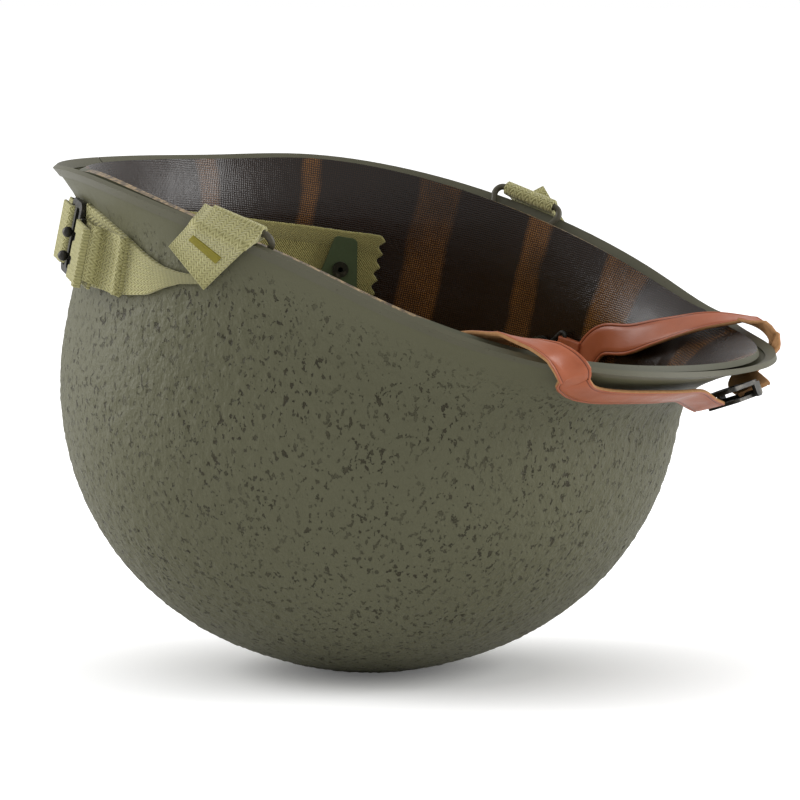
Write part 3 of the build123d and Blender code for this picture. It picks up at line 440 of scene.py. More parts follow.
def floor_white():
    """White floor whose glow, for the camera only, rises away from the helmet: the weaker glow near it is painted
    shadow that deepens and tightens the cast shadow.
    """
    tree = Tree("floor_white", roughness=0.9, specular=0.0)
    seen = tree.node("ShaderNodeLightPath", "Is Camera Ray")
    away = tree.node("ShaderNodeVectorMath", "Value", tree.position(), operation="LENGTH")
    # Less glow near the helmet: painted shadow on the floor, on top of the shadow that the lamps cast.
    reach = tree.steps(away, (0.05, 0.1), (0.2, 0.62))
    glow = tree.math("MULTIPLY", seen, reach)
    tree.shader.inputs["Emission Color"].default_value = (1, 1, 1, 1)
    tree.put(glow, tree.shader.inputs["Emission Strength"])
    return tree.finish((0.9, 0.9, 0.9, 1))


paint = {
    "cork": cork_paint(),
    "olive": plain_paint(),
    "band": plain_paint("band_paint", (97, 95, 77), (83, 81, 64), 0.45),
    "bail": plain_paint("bail_paint", (90, 86, 70), (66, 62, 50), 0.42),
    "washer": plain_paint("washer_paint", (78, 92, 62), (64, 76, 50), 0.4),
    "resin": resin_canvas(),
    "edge": raw_edge(),
    # The second colour of each webbing is the painted shade in the hollows of its weave.
    "strap": webbing("strap_webbing", (186, 181, 128), (120, 114, 66)),
    "band_web": webbing("band_webbing", (166, 158, 96), (104, 96, 50), rib=30.0, pitch=1.0),
    "leather": leather(),
    "sweat": leather("sweatband_leather", (176, 128, 84), (150, 104, 66), 0.5),
    "flesh": flesh_side(),
    "black": metal("blackened", (46, 45, 42), (84, 80, 72), 0.4, 0.55),
    "rivet": metal("rivet_metal", (52, 54, 44), (104, 102, 88), 0.36, 0.7),
    "brass": metal("eyelet_brass", (120, 98, 50), (150, 128, 72), 0.35, 0.9),
    "tack": thread("tack_thread", (150, 140, 52)),
    "lace": thread("lace_cotton", (168, 160, 112)),
}


# Steel shell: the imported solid's outside with the cork's roughness in the mesh


def bowl_ray(angle, polar):
    """Direction from the bowl's middle: angle round the axis, polar angle up from the crown."""
    round_axis = FORWARD * math.cos(angle) + SIDE * math.sin(angle)
    return round_axis * math.sin(polar) - UP * math.cos(polar)


def rim_polar(tree, angle):
    """Largest polar angle at which a ray from the bowl's middle still meets the shell."""
    low, high = math.radians(70), math.radians(150)
    halvings = 24
    for _ in range(halvings):
        middle = (low + high) / 2
        if tree.ray_cast(BOWL_MIDDLE, bowl_ray(angle, middle))[0] is None:
            high = middle
        else:
            low = middle
    return low


# A distance past the shell's outside and an angle kept from its rim, in metres and radians
OUTSIDE = 0.4
RIM_MARGIN = 0.002
# Width of the margin without cork, of its fade, and the depth that the skin is let in, in millimetres
BARE_RIM = 5
CORK_FADE = 9
LET_IN = 0.1
# Share of the relief that is left on the bare margin
LEAST_CORK = 0.12


def cork_lumps(point):
    """Height of the cork under the paint, in millimetres: small grains on broader ones."""
    fine = noise.noise(point * 430, noise_basis="PERLIN_ORIGINAL")
    broad = noise.noise(point * 210 + Vector((7, 3, 1)), noise_basis="PERLIN_ORIGINAL")
    return 0.36 * fine + 0.2 * broad


def make_shell(steel):
    """Shell skin: a grid of columns round the axis and rows from crown to rim, out and in."""
    columns, rows, inner_rows = ((620, 230, 40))
    points, cork = [], []
    for c in range(columns):
        angle = TURN * c / columns
        last = rim_polar(steel, angle) - RIM_MARGIN
        for r in range(1, rows + 1):
            ray = bowl_ray(angle, last * r / rows)
            place, normal = steel.ray_cast(BOWL_MIDDLE + ray * OUTSIDE, -ray)[:2]
            to_rim = (rows - r) * last / rows * SHELL_RADIUS / MM
            zone = min(max((to_rim - BARE_RIM) / CORK_FADE, 0), 1)
            share = LEAST_CORK + (1 - LEAST_CORK) * zone
            raised = place + normal * (cork_lumps(place) * share - LET_IN) * MM
            points.append(Vector((raised.x, raised.y, max(raised.z, 0))))
            cork.append(zone)
        for r in range(inner_rows, 0, -1):
            ray = bowl_ray(angle, last * r / inner_rows)
            points.append(steel.ray_cast(BOWL_MIDDLE, ray)[0])
            cork.append(0)
    total = rows + inner_rows
    faces = []
    for c in range(columns):
        here, there = c * total, (c + 1) % columns * total
        for r in range(total - 1):
            faces.append((here + r, there + r, there + r + 1, here + r + 1))
    crown = steel.ray_cast(BOWL_MIDDLE - UP * OUTSIDE, UP)[0]
    inner_crown = steel.ray_cast(BOWL_MIDDLE, -UP)[0]
    outer_tip, inner_tip = len(points), len(points) + 1
    points += [crown, inner_crown]
    cork += [1, 0]
    for c in range(columns):
        here, there = c * total, (c + 1) % columns * total
        faces.append((outer_tip, there, here))
        faces.append((inner_tip, here + total - 1, there + total - 1))
    shell = smooth(mesh_object("steel_shell_skin", points, faces), 40)
    float_attribute(shell, "cork", cork)
    dress(face_outward(shell), paint["cork"])
    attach(shell, "shell")
    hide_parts("steel_shell")


# Straps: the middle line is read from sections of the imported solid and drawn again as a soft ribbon


def strap_solid(node):
    """Corners, triangles and neighbour lists of a strap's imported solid, doubles merged."""
    bm = bmesh.new()
    bm.from_mesh(nodes[node].data)
    bmesh.ops.remove_doubles(bm, verts=bm.verts, dist=0.01 * MM)
    bmesh.ops.triangulate(bm, faces=bm.faces)
    bm.verts.index_update()
    corners = np.array([tuple(v.co) for v in bm.verts])
    triangles = np.array([[v.index for v in f.verts] for f in bm.faces])
    linked = [[(e.other_vert(v).index, e.calc_length()) for e in v.link_edges] for v in bm.verts]
    bm.free()
    return corners, triangles, linked


def walk(linked, start):
    """Shortest way over the mesh from one vertex to every other."""
    far = np.full(len(linked), np.inf)
    far[start] = 0
    queue = [(0.0, start)]
    while queue:
        reached, here = heapq.heappop(queue)
        if reached > far[here]:
            continue
        for there, length in linked[here]:
            if reached + length < far[there]:
                far[there] = reached + length
                heapq.heappush(queue, (far[there], there))
    return far


def rough_line(corners, triangles, linked, step):
    """Middles of the strap in even stretches from one end to the other."""
    first = int(np.argmax(walk(linked, 0)))
    far = walk(linked, first)
    faces = corners[triangles]
    areas = np.linalg.norm(np.cross(faces[:, 1] - faces[:, 0], faces[:, 2] - faces[:, 0]), axis=1)
    middles, reach = faces.mean(1), far[triangles].mean(1)
    count = max(int(far.max() / step), 4)
    line = []
    for k in range(count):
        inside = (reach >= far.max() * k / count) & (reach < far.max() * (k + 1) / count)
        if areas[inside].sum() > 0:
            line.append((middles[inside] * areas[inside, None]).sum(0) / areas[inside].sum())
    return softened(np.array(line), 2)


def cut_strap(corners, triangles, point, direction):
    """The strap's section in a plane: its middle, its width direction, its width and its thickness."""
    height = (corners - point) @ direction
    side = height[triangles] > 0
    crossing = triangles[side.any(1) & ~side.all(1)]
    by_edge, pieces = {}, []
    for triangle in crossing:
        ends = []
        for i in range(3):
            a, b = int(triangle[i]), int(triangle[(i + 1) % 3])
            if (height[a] > 0) != (height[b] > 0):
                t = height[a] / (height[a] - height[b])
                ends.append(((min(a, b), max(a, b)), corners[a] + (corners[b] - corners[a]) * t))
        pieces.append(ends)
        for edge, _ in ends:
            by_edge.setdefault(edge, []).append(len(pieces) - 1)
    if not pieces:
        return None
    middles = np.array([(ends[0][1] + ends[1][1]) / 2 for ends in pieces])
    seed = int(np.argmin(np.linalg.norm(middles - point, axis=1)))
    kept, queue = {seed}, [seed]
    while queue:
        for edge, _ in pieces[queue.pop()]:
            for other in by_edge[edge]:
                if other not in kept:
                    kept.add(other)
                    queue.append(other)
    starts = np.array([pieces[k][0][1] for k in kept])
    stops = np.array([pieces[k][1][1] for k in kept])
    weights = np.linalg.norm(stops - starts, axis=1)
    halves = (starts + stops) / 2
    middle = (halves * weights[:, None]).sum(0) / weights.sum()
    spread = halves - middle
    _, axes = np.linalg.eigh((spread * weights[:, None]).T @ spread)
    wide, thin = axes[:, 2], axes[:, 1]
    rim = np.concatenate([starts, stops]) - middle
    across, through = rim @ wide, rim @ thin
    middle = middle + wide * (across.max() + across.min()) / 2
    middle = middle + thin * (through.max() + through.min()) / 2
    return middle, wide, np.ptp(across), np.ptp(through)


def resample(rows, at, wanted):
    """Rows known at some runs, read off at the wanted ones."""
    return np.stack([np.interp(wanted, at, rows[:, k]) for k in range(rows.shape[1])], 1)


def softened(values, passes):
    """Rows averaged with their neighbours, the two ends kept."""
    for _ in range(passes):
        middle = (values[:-2] + 2 * values[1:-1] + values[2:]) / 4
        values = np.concatenate([values[:1], middle, values[-1:]])
    return values


def unit(rows):
    """Rows scaled to a length of one."""
    return rows / np.linalg.norm(rows, axis=1, keepdims=True)


def runs_of(points):
    """Length along the line up to each point."""
    return np.concatenate([[0], np.cumsum(np.linalg.norm(np.diff(points, axis=0), axis=1))])


# Steps of the rough line, of the sections and of the finished strap
ROUGH_STEP = 7 * MM
CUT_STEP = 2.5 * MM
FINE_STEP = 1.0 * MM
# Share by which a section's width may differ from the strap's before it is left out
ODD_WIDTH = 0.12


class Strap:
    """Middle line, width direction and outward direction of a strap, at even steps."""

    def __init__(self, node, away_from):
        corners, triangles, linked = strap_solid(node)
        rough = rough_line(corners, triangles, linked, ROUGH_STEP)
        at = runs_of(rough)
        places = resample(rough, at, np.arange(0, at[-1], CUT_STEP))
        tangents = unit(softened(np.gradient(places, axis=0), 3))
        cuts = [cut_strap(corners, triangles, p, t) for p, t in zip(places, tangents)]
        kept = [k for k, cut in enumerate(cuts) if cut is not None]
        sizes = np.array([cuts[k][2:] for k in kept])
        self.width, self.sheet = np.median(sizes, axis=0)
        kept = [k for k, size in zip(kept, sizes) if abs(size[0] / self.width - 1) < ODD_WIDTH]
        middle = np.array([cuts[k][0] for k in kept])
        wide = [cuts[k][1] for k in kept]
        for k in range(1, len(wide)):
            if wide[k] @ wide[k - 1] < 0:
                wide[k] = -wide[k]
        wide = np.array(wide)
        ends = []
        for end, inner in ((0, 2), (-1, -3)):
            way = middle[end] - middle[inner]
            way /= np.linalg.norm(way)
            near = corners[np.linalg.norm(corners - middle[end], axis=1) < self.width * 0.75]
            ends.append(middle[end] + way * ((near - middle[end]) @ way).max())
        middle = np.concatenate([ends[:1], middle, ends[1:]])
        wide = np.concatenate([wide[:1], wide, wide[-1:]])
        at = runs_of(middle)
        wanted = np.linspace(0, at[-1], max(int(at[-1] / FINE_STEP), 8) + 1)
        self.middle = softened(resample(softened(middle, 2), at, wanted), 6)
        wide = unit(softened(resample(wide, at, wanted), 12))
        tangents = unit(np.gradient(self.middle, axis=0))
        self.across = unit(wide - tangents * (wide * tangents).sum(1)[:, None])
        out = np.cross(tangents, self.across)
        near = np.array([tuple(away_from.find_nearest(Vector(p))[0]) for p in self.middle])
        if ((self.middle - near) * out).sum() < 0:
            out = -out
        self.out = out
        self.run = runs_of(self.middle)


RUFFLES = 160


def strap_mesh(name, strap, profile, ruffle, seed):
    """Sweep of a closed profile of (across share, out share) points, with strap coordinates."""
    phase = random.Random(seed).random() * 10
    points, count = [], len(profile)
    for k in range(len(strap.middle)):
        for across, out in profile:
            wave = 1 + ruffle * noise.noise(Vector((strap.run[k] * RUFFLES, across * 2, phase)))
            point = strap.middle[k] + strap.across[k] * (across * strap.width / 2 * wave)
            point = point + strap.out[k] * (out * strap.sheet / 2 * wave)
            points.append(point)
    faces = []
    for k in range(len(strap.middle) - 1):
        for i in range(count):
            j = (i + 1) % count
            faces.append((k * count + i, k * count + j, (k + 1) * count + j, (k + 1) * count + i))
    faces.append(tuple(reversed(range(count))))
    faces.append(tuple(range((len(strap.middle) - 1) * count, len(strap.middle) * count)))
    obj = mesh_object(name, points, faces)
    strap_coordinates(obj, lambda vertex: (strap.run[vertex // count],
                                           profile[vertex % count][0] * strap.width / 2))
    return face_outward(obj)


def webbing_profile():
    """Section of woven tape: flat, with rounded selvedges."""
    cells = 14
    top = [(-1 + 2 * i / cells, 0.92) for i in range(1, cells)]
    bottom = [(x, -0.92) for x, _ in reversed(top)]
    return ([(-1.0, 0.0), (-0.985, 0.6)] + top + [(0.985, 0.6), (1.0, 0.0), (0.985, -0.6)]
            + bottom + [(-0.985, -0.6)])


LEATHER_CREASE = 0.8


def leather_profile():
    """Section of strap leather: a creased line near each edge of the grain side."""
    line, lip = LEATHER_CREASE, 0.045
    top = [(-0.93, 0.97), (-line - lip, 0.92), (-line, 0.66), (-line + lip, 0.92)]
    top += [(x, 1.0) for x in (-0.5, -0.2, 0.2, 0.5)]
    top += [(-x, y) for x, y in reversed(top[:4])]
    return ([(-0.99, -0.55), (-1.0, 0.0), (-0.985, 0.65)] + top
            + [(0.985, 0.65), (1.0, 0.0), (0.99, -0.55), (0.93, -1.0), (-0.93, -1.0)])


def make_webbing(node, away_from, material):
    """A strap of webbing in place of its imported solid."""
    obj = strap_mesh(node + "_web", Strap(node, away_from), webbing_profile(), 0.03, len(node))
    smooth(obj, 50)
    dress(obj, material)
    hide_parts(node)
    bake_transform(obj)


# Passes of easing, the gap kept, how near the strap must be to be pushed off, and the share per pass
EASING_PASSES = 40
EASING_GAP = 0.5 * MM
EASING_NEAR = 5 * MM
EASING_PUSH = 0.6


def relaxed(strap, obstacle):
    """The strap eased between its ends like leather under light pull, kept off what it lies on."""
    clear = strap.sheet / 2 + EASING_GAP
    middle = strap.middle.copy()
    for _ in range(EASING_PASSES):
        middle = softened(middle, 1)
        for k in range(1, len(middle) - 1):
            push = Vector((0, 0, 0))
            for share in (-0.45, 0, 0.45):
                spot = Vector(middle[k] + strap.across[k] * strap.width * share)
                near, normal, _, far = obstacle.find_nearest(spot)
                short = clear - (spot - near).dot(normal)
                if far < EASING_NEAR and short > push.length:
                    push = normal * short
            middle[k] += np.array(push) * EASING_PUSH
    strap.middle = middle
    turned = softened(strap.across, 60)
    tangents = unit(np.gradient(middle, axis=0))
    strap.across = unit(turned - tangents * (turned * tangents).sum(1)[:, None])
    facing = np.sign((np.cross(tangents, strap.across) * strap.out).sum(1))[:, None]
    strap.out = np.cross(tangents, strap.across) * facing
    strap.run = runs_of(middle)
    return strap


def make_leather_half(node, away_from):
    """Half of the leather strap: grain outside, flesh on the edges, the back and the cut ends."""
    strap = relaxed(Strap(node, away_from), ray_tree(nodes["steel_shell"], nodes["rim_band"]))
    profile = leather_profile()
    count = len(profile)
    obj = strap_mesh(node + "_hide", strap, profile, 0.012, len(node))
    dress(obj, paint["leather"], paint["flesh"])
    creased = [abs(abs(across) - LEATHER_CREASE) < 0.01 for across, _ in profile]
    float_attribute(obj, "crease", creased * len(strap.middle))
    for polygon in obj.data.polygons:
        outs = [profile[v % count][1] for v in polygon.vertices]
        edge_or_back = min(outs) < 0.6 and max(outs) < 0.8
        cut_end = len(outs) > 4
        polygon.material_index = 1 if edge_or_back or cut_end else 0
    smooth(obj, 45)
    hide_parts(node)
    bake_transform(obj)


def copy_of(node, name):
    """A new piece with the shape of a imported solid, for a softer surface on it."""
    obj = new_object(name, nodes[node].data.copy())
    obj.data.materials.clear()
    return obj


def remeshed(obj, voxel, passes=4):
    """The object as an even mesh with its edges softened."""
    modifier = obj.modifiers.new("even", "REMESH")
    modifier.mode = "VOXEL"
    modifier.voxel_size = voxel
    relax = obj.modifiers.new("soft", "SMOOTH")
    relax.iterations = passes
    relax.factor = 0.5
    return apply_modifiers(obj)


def flat_coordinates(obj, along, across):
    """Strap coordinates laid flat on a folded piece."""
    corners = obj.data.vertices
    strap_coordinates(obj, lambda k: (corners[k].co.dot(along), corners[k].co.dot(across)))


def make_fold(node, body, along, across, material, voxel=0.42 * MM):
    """Folded webbing or leather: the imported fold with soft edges."""
    obj = remeshed(copy_of(node, node + "_fold"), voxel)
    flat_coordinates(obj, along.normalized(), across.normalized())
    smooth(obj)
    dress(obj, material)
    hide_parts(node)
    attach(obj, body)
    return obj


# Suspension and liner


# Depth in millimetres below the opening down to which the liner shows a raw edge
EDGE_DEPTH = 32


def liner_looks():
    """Resin canvas inside, paint outside and a raw edge, by the way each face looks."""
    bowl = nodes["liner_bowl"]
    inside, outside, edge = range(3)
    dress(bowl, paint["resin"], paint["olive"], paint["edge"])
    for polygon in bowl.data.polygons:
        centre = polygon.center - OPENING
        level = centre.dot(UP) / MM
        radial = (centre - UP * centre.dot(UP)).normalized()
        away = radial if level > -MIDDLE_DEPTH else (polygon.center - BOWL_MIDDLE).normalized()
        faces_up = polygon.normal.dot(UP) > 0.8 and abs(polygon.normal.dot(radial)) < 0.5
        if faces_up and level > -EDGE_DEPTH:
            polygon.material_index = edge
        else:
            polygon.material_index = outside if polygon.normal.dot(away) > 0 else inside
    smooth(bowl)


def band_piece(node, material, voxel):
    """Soft piece on the liner: its solid with softened edges and coordinates round the bowl."""
    obj = remeshed(copy_of(node, node + "_cloth"), voxel, 3)

    def round_bowl(vertex):
        place = obj.data.vertices[vertex].co - OPENING
        angle = math.atan2(place.dot(SIDE), place.dot(FORWARD))
        if angle < -math.pi / 2:
            angle += TURN
        return angle * BAND_RADIUS, place.dot(UP)

    strap_coordinates(obj, round_bowl)
    smooth(obj)
    dress(obj, material)
    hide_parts(node)
    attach(obj, "liner")


# Stitches


def capsule(start, end, radius):
    """Points and faces of one short rounded stitch."""
    sides = 6
    axis = (end - start).normalized()
    side = axis.orthogonal().normalized()
    other = axis.cross(side)
    points, faces = [start - axis * radius], []
    spans = [(start, -0.6, 0.75), (start, 0.2, 1.0), (end, -0.2, 1.0), (end, 0.6, 0.75)]
    for base, along, wide in spans:
        for i in range(sides):
            turn = TURN * i / sides
            out = side * math.cos(turn) + other * math.sin(turn)
            points.append(base + axis * along * radius + out * radius * wide)
    points.append(end + axis * radius)
    last = 1 + (len(spans) - 1) * sides
    for i in range(sides):
        j = (i + 1) % sides
        faces.append((0, 1 + j, 1 + i))
        for a in range(1, last, sides):
            faces.append((a + i, a + j, a + sides + j, a + sides + i))
        faces.append((last + i, last + j, len(points) - 1))
    return points, faces


def stitches(name, segments, radius, material, body):
    """A row of stitches as one piece, from the start and end of each."""
    points, faces = [], []
    for start, end in segments:
        corners, sides = capsule(start, end, radius)
        offset = len(points)
        points += corners
        faces += [tuple(i + offset for i in side) for side in sides]
    obj = smooth(mesh_object(name, points, faces))
    dress(obj, material)
    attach(obj, body)


# Patches of webbing laid over the shell and the loops, their rims placed in the photograph's pixels


def pixel_ray(x, y):
    """Direction from the camera through a pixel of the photograph."""
    ahead = (CAMERA_TARGET - CAMERA_PLACE).normalized()
    right = ahead.cross(Vector((0, 0, 1))).normalized()
    above = right.cross(ahead)
    scale = SENSOR / LENS / PHOTO_SIZE
    aside = right * (x - PHOTO_SIZE / 2) * scale
    return (ahead + aside - above * (y - PHOTO_SIZE / 2) * scale).normalized()


class Patch:
    """A sheet between two rims drawn in pixels, resting on what the camera sees there."""

    settling = 60

    def __init__(self, first_rim, second_rim, under, lift, columns=22, rows=26, crown=0.0):
        self.columns, self.rows = columns, rows
        rims = [self.spread(np.array(rim, float), rows) for rim in (first_rim, second_rim)]
        rays, far = [], np.zeros((rows + 1, columns + 1))
        for r in range(rows + 1):
            for k in range(columns + 1):
                ray = pixel_ray(*(rims[0][r] + (rims[1][r] - rims[0][r]) * k / columns))
                hit = under.ray_cast(CAMERA_PLACE, ray)
                rays.append(ray)
                far[r, k] = hit[3] if hit[0] is not None else np.nan
        far = np.where(np.isnan(far), np.nanmean(far), far)
        level = far.copy()
        for _ in range(self.settling):
            wide = np.pad(level, 1, mode="edge")
            level = (wide[:-2, 1:-1] + wide[2:, 1:-1] + wide[1:-1, :-2] + wide[1:-1, 2:]) / 4
            level = np.minimum(level, far)
        bulge = np.sin(np.linspace(0, math.pi, rows + 1))[:, None] * crown
        level = level - lift - bulge
        self.points = [CAMERA_PLACE + ray * reach for ray, reach in zip(rays, level.flat)]

    @staticmethod
    def spread(rim, rows):
        """A rim's corners as even steps, rounded where it has more than two."""
        at = runs_of(rim)
        even = resample(rim, at, np.linspace(0, at[-1], rows + 1))
        return softened(even, 4) if len(rim) > 2 else even

    def at(self, u, v):
        """Point on the sheet at a share across and a share along."""
        last = 0.9999
        x, y = min(u, last) * self.columns, min(v, last) * self.rows
        k, r = int(x), int(y)
        x, y = x - k, y - r
        row = self.columns + 1
        a, b, c, d = [self.points[(r + j) * row + k + i] for j in (0, 1) for i in (0, 1)]
        return (a * (1 - x) + b * x) * (1 - y) + (c * (1 - x) + d * x) * y

    def normal(self, u, v):
        """Direction out of the sheet there, towards the camera."""
        step = 0.02
        along = self.at(u, min(v + step, 1)) - self.at(u, max(v - step, 0))
        across = self.at(min(u + step, 1), v) - self.at(max(u - step, 0), v)
        face = across.cross(along).normalized()
        return face if face.dot(CAMERA_PLACE - self.at(u, v)) > 0 else -face

    def cloth(self, name, sheet, width, length, material):
        """The sheet with its thickness, rounded rims and strap coordinates."""
        row = self.columns + 1
        faces = [(r * row + k, r * row + k + 1, (r + 1) * row + k + 1, (r + 1) * row + k)
                 for r in range(self.rows) for k in range(self.columns)]
        obj = mesh_object(name, self.points, faces)
        strap_coordinates(obj, lambda vertex: (vertex // row / self.rows * length,
                                               (vertex % row / self.columns - 0.5) * width))
        thick = obj.modifiers.new("thick", "SOLIDIFY")
        thick.thickness = sheet
        thick.offset = 0
        round_rim = obj.modifiers.new("rim", "BEVEL")
        round_rim.width = sheet * 0.3
        round_rim.segments = 2
        round_rim.angle_limit = math.radians(60)
        apply_modifiers(obj)
        dress(obj, material)
        return smooth(obj, 60)


WEB_SHEET = 1.7 * MM
WEB_WIDTH = 25 * MM
RUN_UPPER = ((88, 203), (110, 222), (128, 238), (145, 254), (161, 266), (177, 272), (200, 276))
RUN_LOWER = ((84, 284), (104, 290), (124, 295), (146, 295), (163, 288), (178, 284), (200, 284))
FLAP_RIMS = (((206, 205), (169, 246)), ((262, 233), (204, 290)))
TAIL_RIMS = (((93, 225), (129, 238)), ((82, 280), (120, 297)))
# Bar tack on the flap: its stitches, its edges as shares along the flap, its span as shares across it
TACK_STITCHES = 46
TACK_EDGES = (0.53, 0.63)
TACK_START, TACK_SPAN = 0.2, 0.6
# Rolled hem of the tail: its share along the flap and its radius
HEM_AT = 0.94
HEM_RADIUS = 1.5 * MM


def make_left_run(under):
    """The short run between the loop and the catch, narrowed where it twists."""
    run = Patch(RUN_UPPER, RUN_LOWER, under, 1.6 * MM, rows=60)
    cloth = run.cloth("left_strap_run_web", WEB_SHEET, WEB_WIDTH, 46 * MM, paint["strap"])
    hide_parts("left_strap_run")
    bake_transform(cloth)
    return cloth


def make_loop_flap(under):
    """The loop's sewn end over the run, with the stitches of its bar tack."""
    flap = Patch(*FLAP_RIMS, under, 1.3 * MM, crown=1.4 * MM)
    cloth = flap.cloth("left_strap_flap", WEB_SHEET, WEB_WIDTH, 26 * MM, paint["strap"])
    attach(cloth, "left_bail_body")
    tack = []
    for k in range(TACK_STITCHES):
        share = TACK_START + TACK_SPAN * k / (TACK_STITCHES - 1)
        near, off = (flap.at(share, edge) for edge in TACK_EDGES)
        out = flap.normal(share, sum(TACK_EDGES) / 2) * (WEB_SHEET / 2 + 0.1 * MM)
        tack.append((near + out, off + out))
    stitches("left_flap_tack", tack, 0.32 * MM, paint["tack"], "left_bail_body")


def tube_mesh(line, radius):
    """Mesh of a closed tube along a soft line."""
    curve = bpy.data.curves.new("tail_hem", "CURVE")
    curve.dimensions = "3D"
    curve.bevel_depth = radius
    curve.bevel_resolution = 4
    curve.use_fill_caps = True
    spline = curve.splines.new("NURBS")
    spline.points.add(len(line) - 1)
    for place, point in zip(spline.points, line):
        place.co = (*point, 1)
    spline.order_u = 3
    spline.use_endpoint_u = True
    drawn = new_object("tail_hem_line", curve)
    mesh = evaluated_mesh(drawn)
    bpy.data.objects.remove(drawn)
    return mesh


def make_tail_flap(under):
    """The tail's turned end by the catch, with its rolled hem."""
    tail = Patch(*TAIL_RIMS, under, 1.4 * MM, crown=0.3 * MM)
    cloth = tail.cloth("left_tail_flap", WEB_SHEET, 22 * MM, 14 * MM, paint["strap"])
    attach(cloth, "shell")
    line = [tail.at(share, HEM_AT) + tail.normal(share, HEM_AT) * HEM_RADIUS
            for share in np.linspace(0.02, 0.98, 12)]
    hem = new_object("left_tail_hem", tube_mesh(line, HEM_RADIUS))
    flat_coordinates(hem, Vector((1, 0, 0)), UP)
    dress(hem, paint["strap"])
    smooth(hem)
    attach(hem, "shell")


# The object


PLAIN = {
    "rim_band": "band", "left_bail": "bail", "right_bail": "bail",
    "left_bail_bracket": "bail", "right_bail_bracket": "bail",
    "chinstrap_catch": "black", "chinstrap_hook": "black",
    "liner_eyelet": "brass", "head_band_washers": "washer", "nape_band_washers": "washer",
    "head_band_rivets": "rivet", "nape_band_rivets": "rivet", "sweatband_clips": "rivet",
    "left_strap_stud": "rivet", "right_strap_stud": "rivet",
    "left_wire_clip": "black", "right_wire_clip": "black",
    "leather_buckle": "black", "leather_clamp": "black",
}
# Node, look, slot and mesh size in millimetres of each soft piece on the liner
LINER_CLOTH = (
    ("head_band", "band_web", "suspension_webbing", 0.8),
    ("nape_band", "band_web", "suspension_webbing", 0.55),
    ("crown_strap_front", "band_web", "suspension_webbing", 0.7),
    ("crown_strap_side", "band_web", "suspension_webbing", 0.7),
    ("crown_strap_rear", "band_web", "suspension_webbing", 0.7),
    ("sweatband", "sweat", "sweatband_leather", 0.8),
    ("crown_lace", "lace", "lace_cotton", 0.5),
)
# Stretch in which a run of webbing passes from its bail to the shell
RUN_BLEND = (4 * MM, 24 * MM)


def make_chinstrap(steel):
    """The webbing: both loops, the run behind the helmet, and the ends at the catch."""
    catch = middle_of("chinstrap_catch")
    loops, crossings = {}, {}
    for side in ("left", "right"):
        node, swivel = side + "_strap_loop", joints[side + "_bail_swivel"]
        bar = Vector(swivel["axis"])
        hang = middle_of(node) - Vector(swivel["pos_m"])
        hang -= bar * hang.dot(bar)
        loops[side] = make_fold(node, side + "_bail_body", hang, bar, paint["strap"])
        start = middle_of(node)
        towards = (catch - start).normalized()
        crossings[side] = (side + "_bail_body", "shell", *(start + towards * run for run in RUN_BLEND))
    make_webbing("right_strap_run", steel, paint["strap"])
    tangent = UP.cross(catch - OPENING).normalized()
    tail = make_fold("left_strap_tail", "shell", tangent, UP, paint["strap"])
    make_fold("right_strap_end", "shell", tangent, UP, paint["strap"])
    run = make_left_run(steel)
    make_loop_flap(ray_tree(loops["left"], run, nodes["steel_shell"]))
    make_tail_flap(ray_tree(tail, run, nodes["steel_shell"]))


def make_leather_strap(liner):
    """The loops at the wire clips and the two halves, which cross from the liner to the shell."""
    for side, outside in (("left", -1), ("right", 1)):
        node, clip = side + "_leather_loop", joints[side + "_clip_swivel"]
        hang = middle_of(node) - Vector(clip["pos_m"])
        make_fold(node, side + "_clip_body", hang, Vector(clip["axis"]).cross(hang),
                  paint["leather"], 0.35 * MM)
        make_leather_half(side + "_leather_strap", liner)


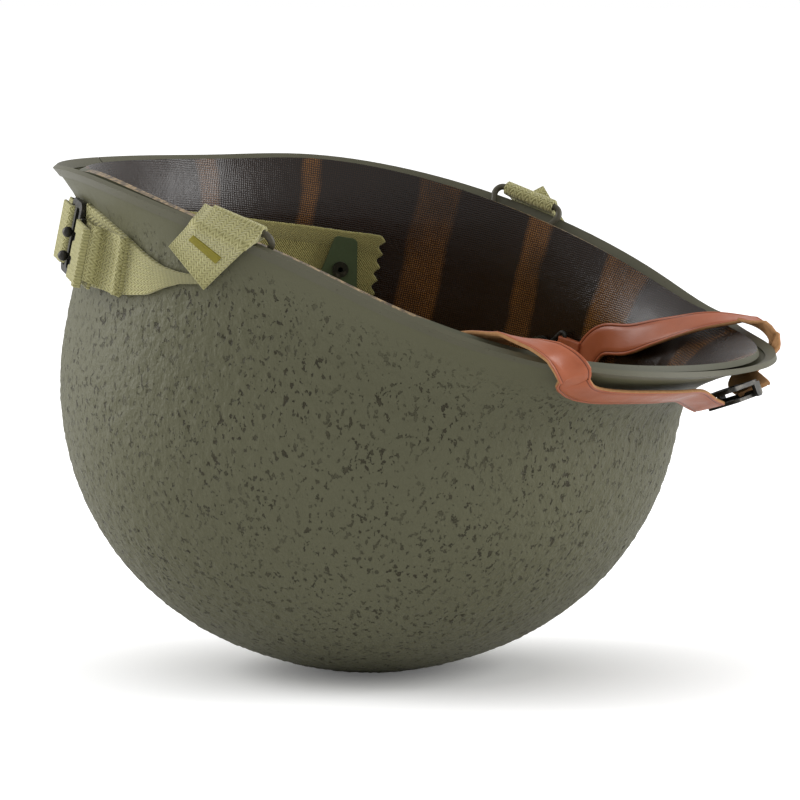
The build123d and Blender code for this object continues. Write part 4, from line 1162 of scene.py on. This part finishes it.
steel_tree = ray_tree(nodes["steel_shell"])
make_shell(steel_tree)
liner_looks()
for plain_node, plain_look in PLAIN.items():
    dress(nodes[plain_node], paint[plain_look])
    smooth(nodes[plain_node])
make_chinstrap(steel_tree)
make_leather_strap(ray_tree(nodes["liner_bowl"]))
for cloth_node, cloth_look, cloth_slot, cloth_voxel in LINER_CLOTH:
    band_piece(cloth_node, paint[cloth_look], cloth_voxel * MM)


# Floor, light and camera


# Strength of the world's light, and the light boxes by name, place and power
SOFT_LIGHT = 0.66
BOX_SIZE = (0.8, 1.2)
BOXES = (("left_box", (-1.55, -0.35, 0.75), 19), ("right_box", (1.45, 0.75, 0.75), 17))
BOX_TARGET = Vector((0, 0, 0.1))


def make_floor():
    reach = 40
    corners = [(-reach, -reach, 0), (reach, -reach, 0), (reach, reach, 0), (-reach, reach, 0)]
    floor = mesh_object("floor", corners, [(0, 1, 2, 3)])
    dress(floor, floor_white())


def aim(obj, place, target):
    """A light or camera put at a place, facing a target."""
    obj.location = place
    obj.rotation_euler = (target - Vector(place)).to_track_quat("-Z", "Y").to_euler()


def light_box(name, place, power):
    data = bpy.data.lights.new(name, "AREA")
    data.shape = "RECTANGLE"
    data.size, data.size_y = BOX_SIZE
    data.energy = power
    aim(new_object(name, data), place, BOX_TARGET)


def make_world():
    """White surroundings, which the camera sees brighter than they light the helmet."""
    world = bpy.data.worlds.new("studio")
    bpy.context.scene.world = world
    world.use_nodes = True
    background = world.node_tree.nodes["Background"]
    background.inputs["Color"].default_value = (1, 1, 1, 1)
    seen = world.node_tree.nodes.new("ShaderNodeLightPath")
    level = world.node_tree.nodes.new("ShaderNodeMapRange")
    level.inputs["To Min"].default_value = SOFT_LIGHT
    level.inputs["To Max"].default_value = 1
    world.node_tree.links.new(seen.outputs["Is Camera Ray"], level.inputs["Value"])
    world.node_tree.links.new(level.outputs["Result"], background.inputs["Strength"])


def make_camera():
    data = bpy.data.cameras.new("view")
    data.lens = LENS
    data.sensor_width = SENSOR
    data.clip_end = 100
    camera = new_object("view", data)
    aim(camera, CAMERA_PLACE, CAMERA_TARGET)
    bpy.context.scene.camera = camera


make_floor()
make_world()
make_camera()
for box in BOXES:
    light_box(*box)
bpy.context.scene.view_settings.view_transform = "Standard"
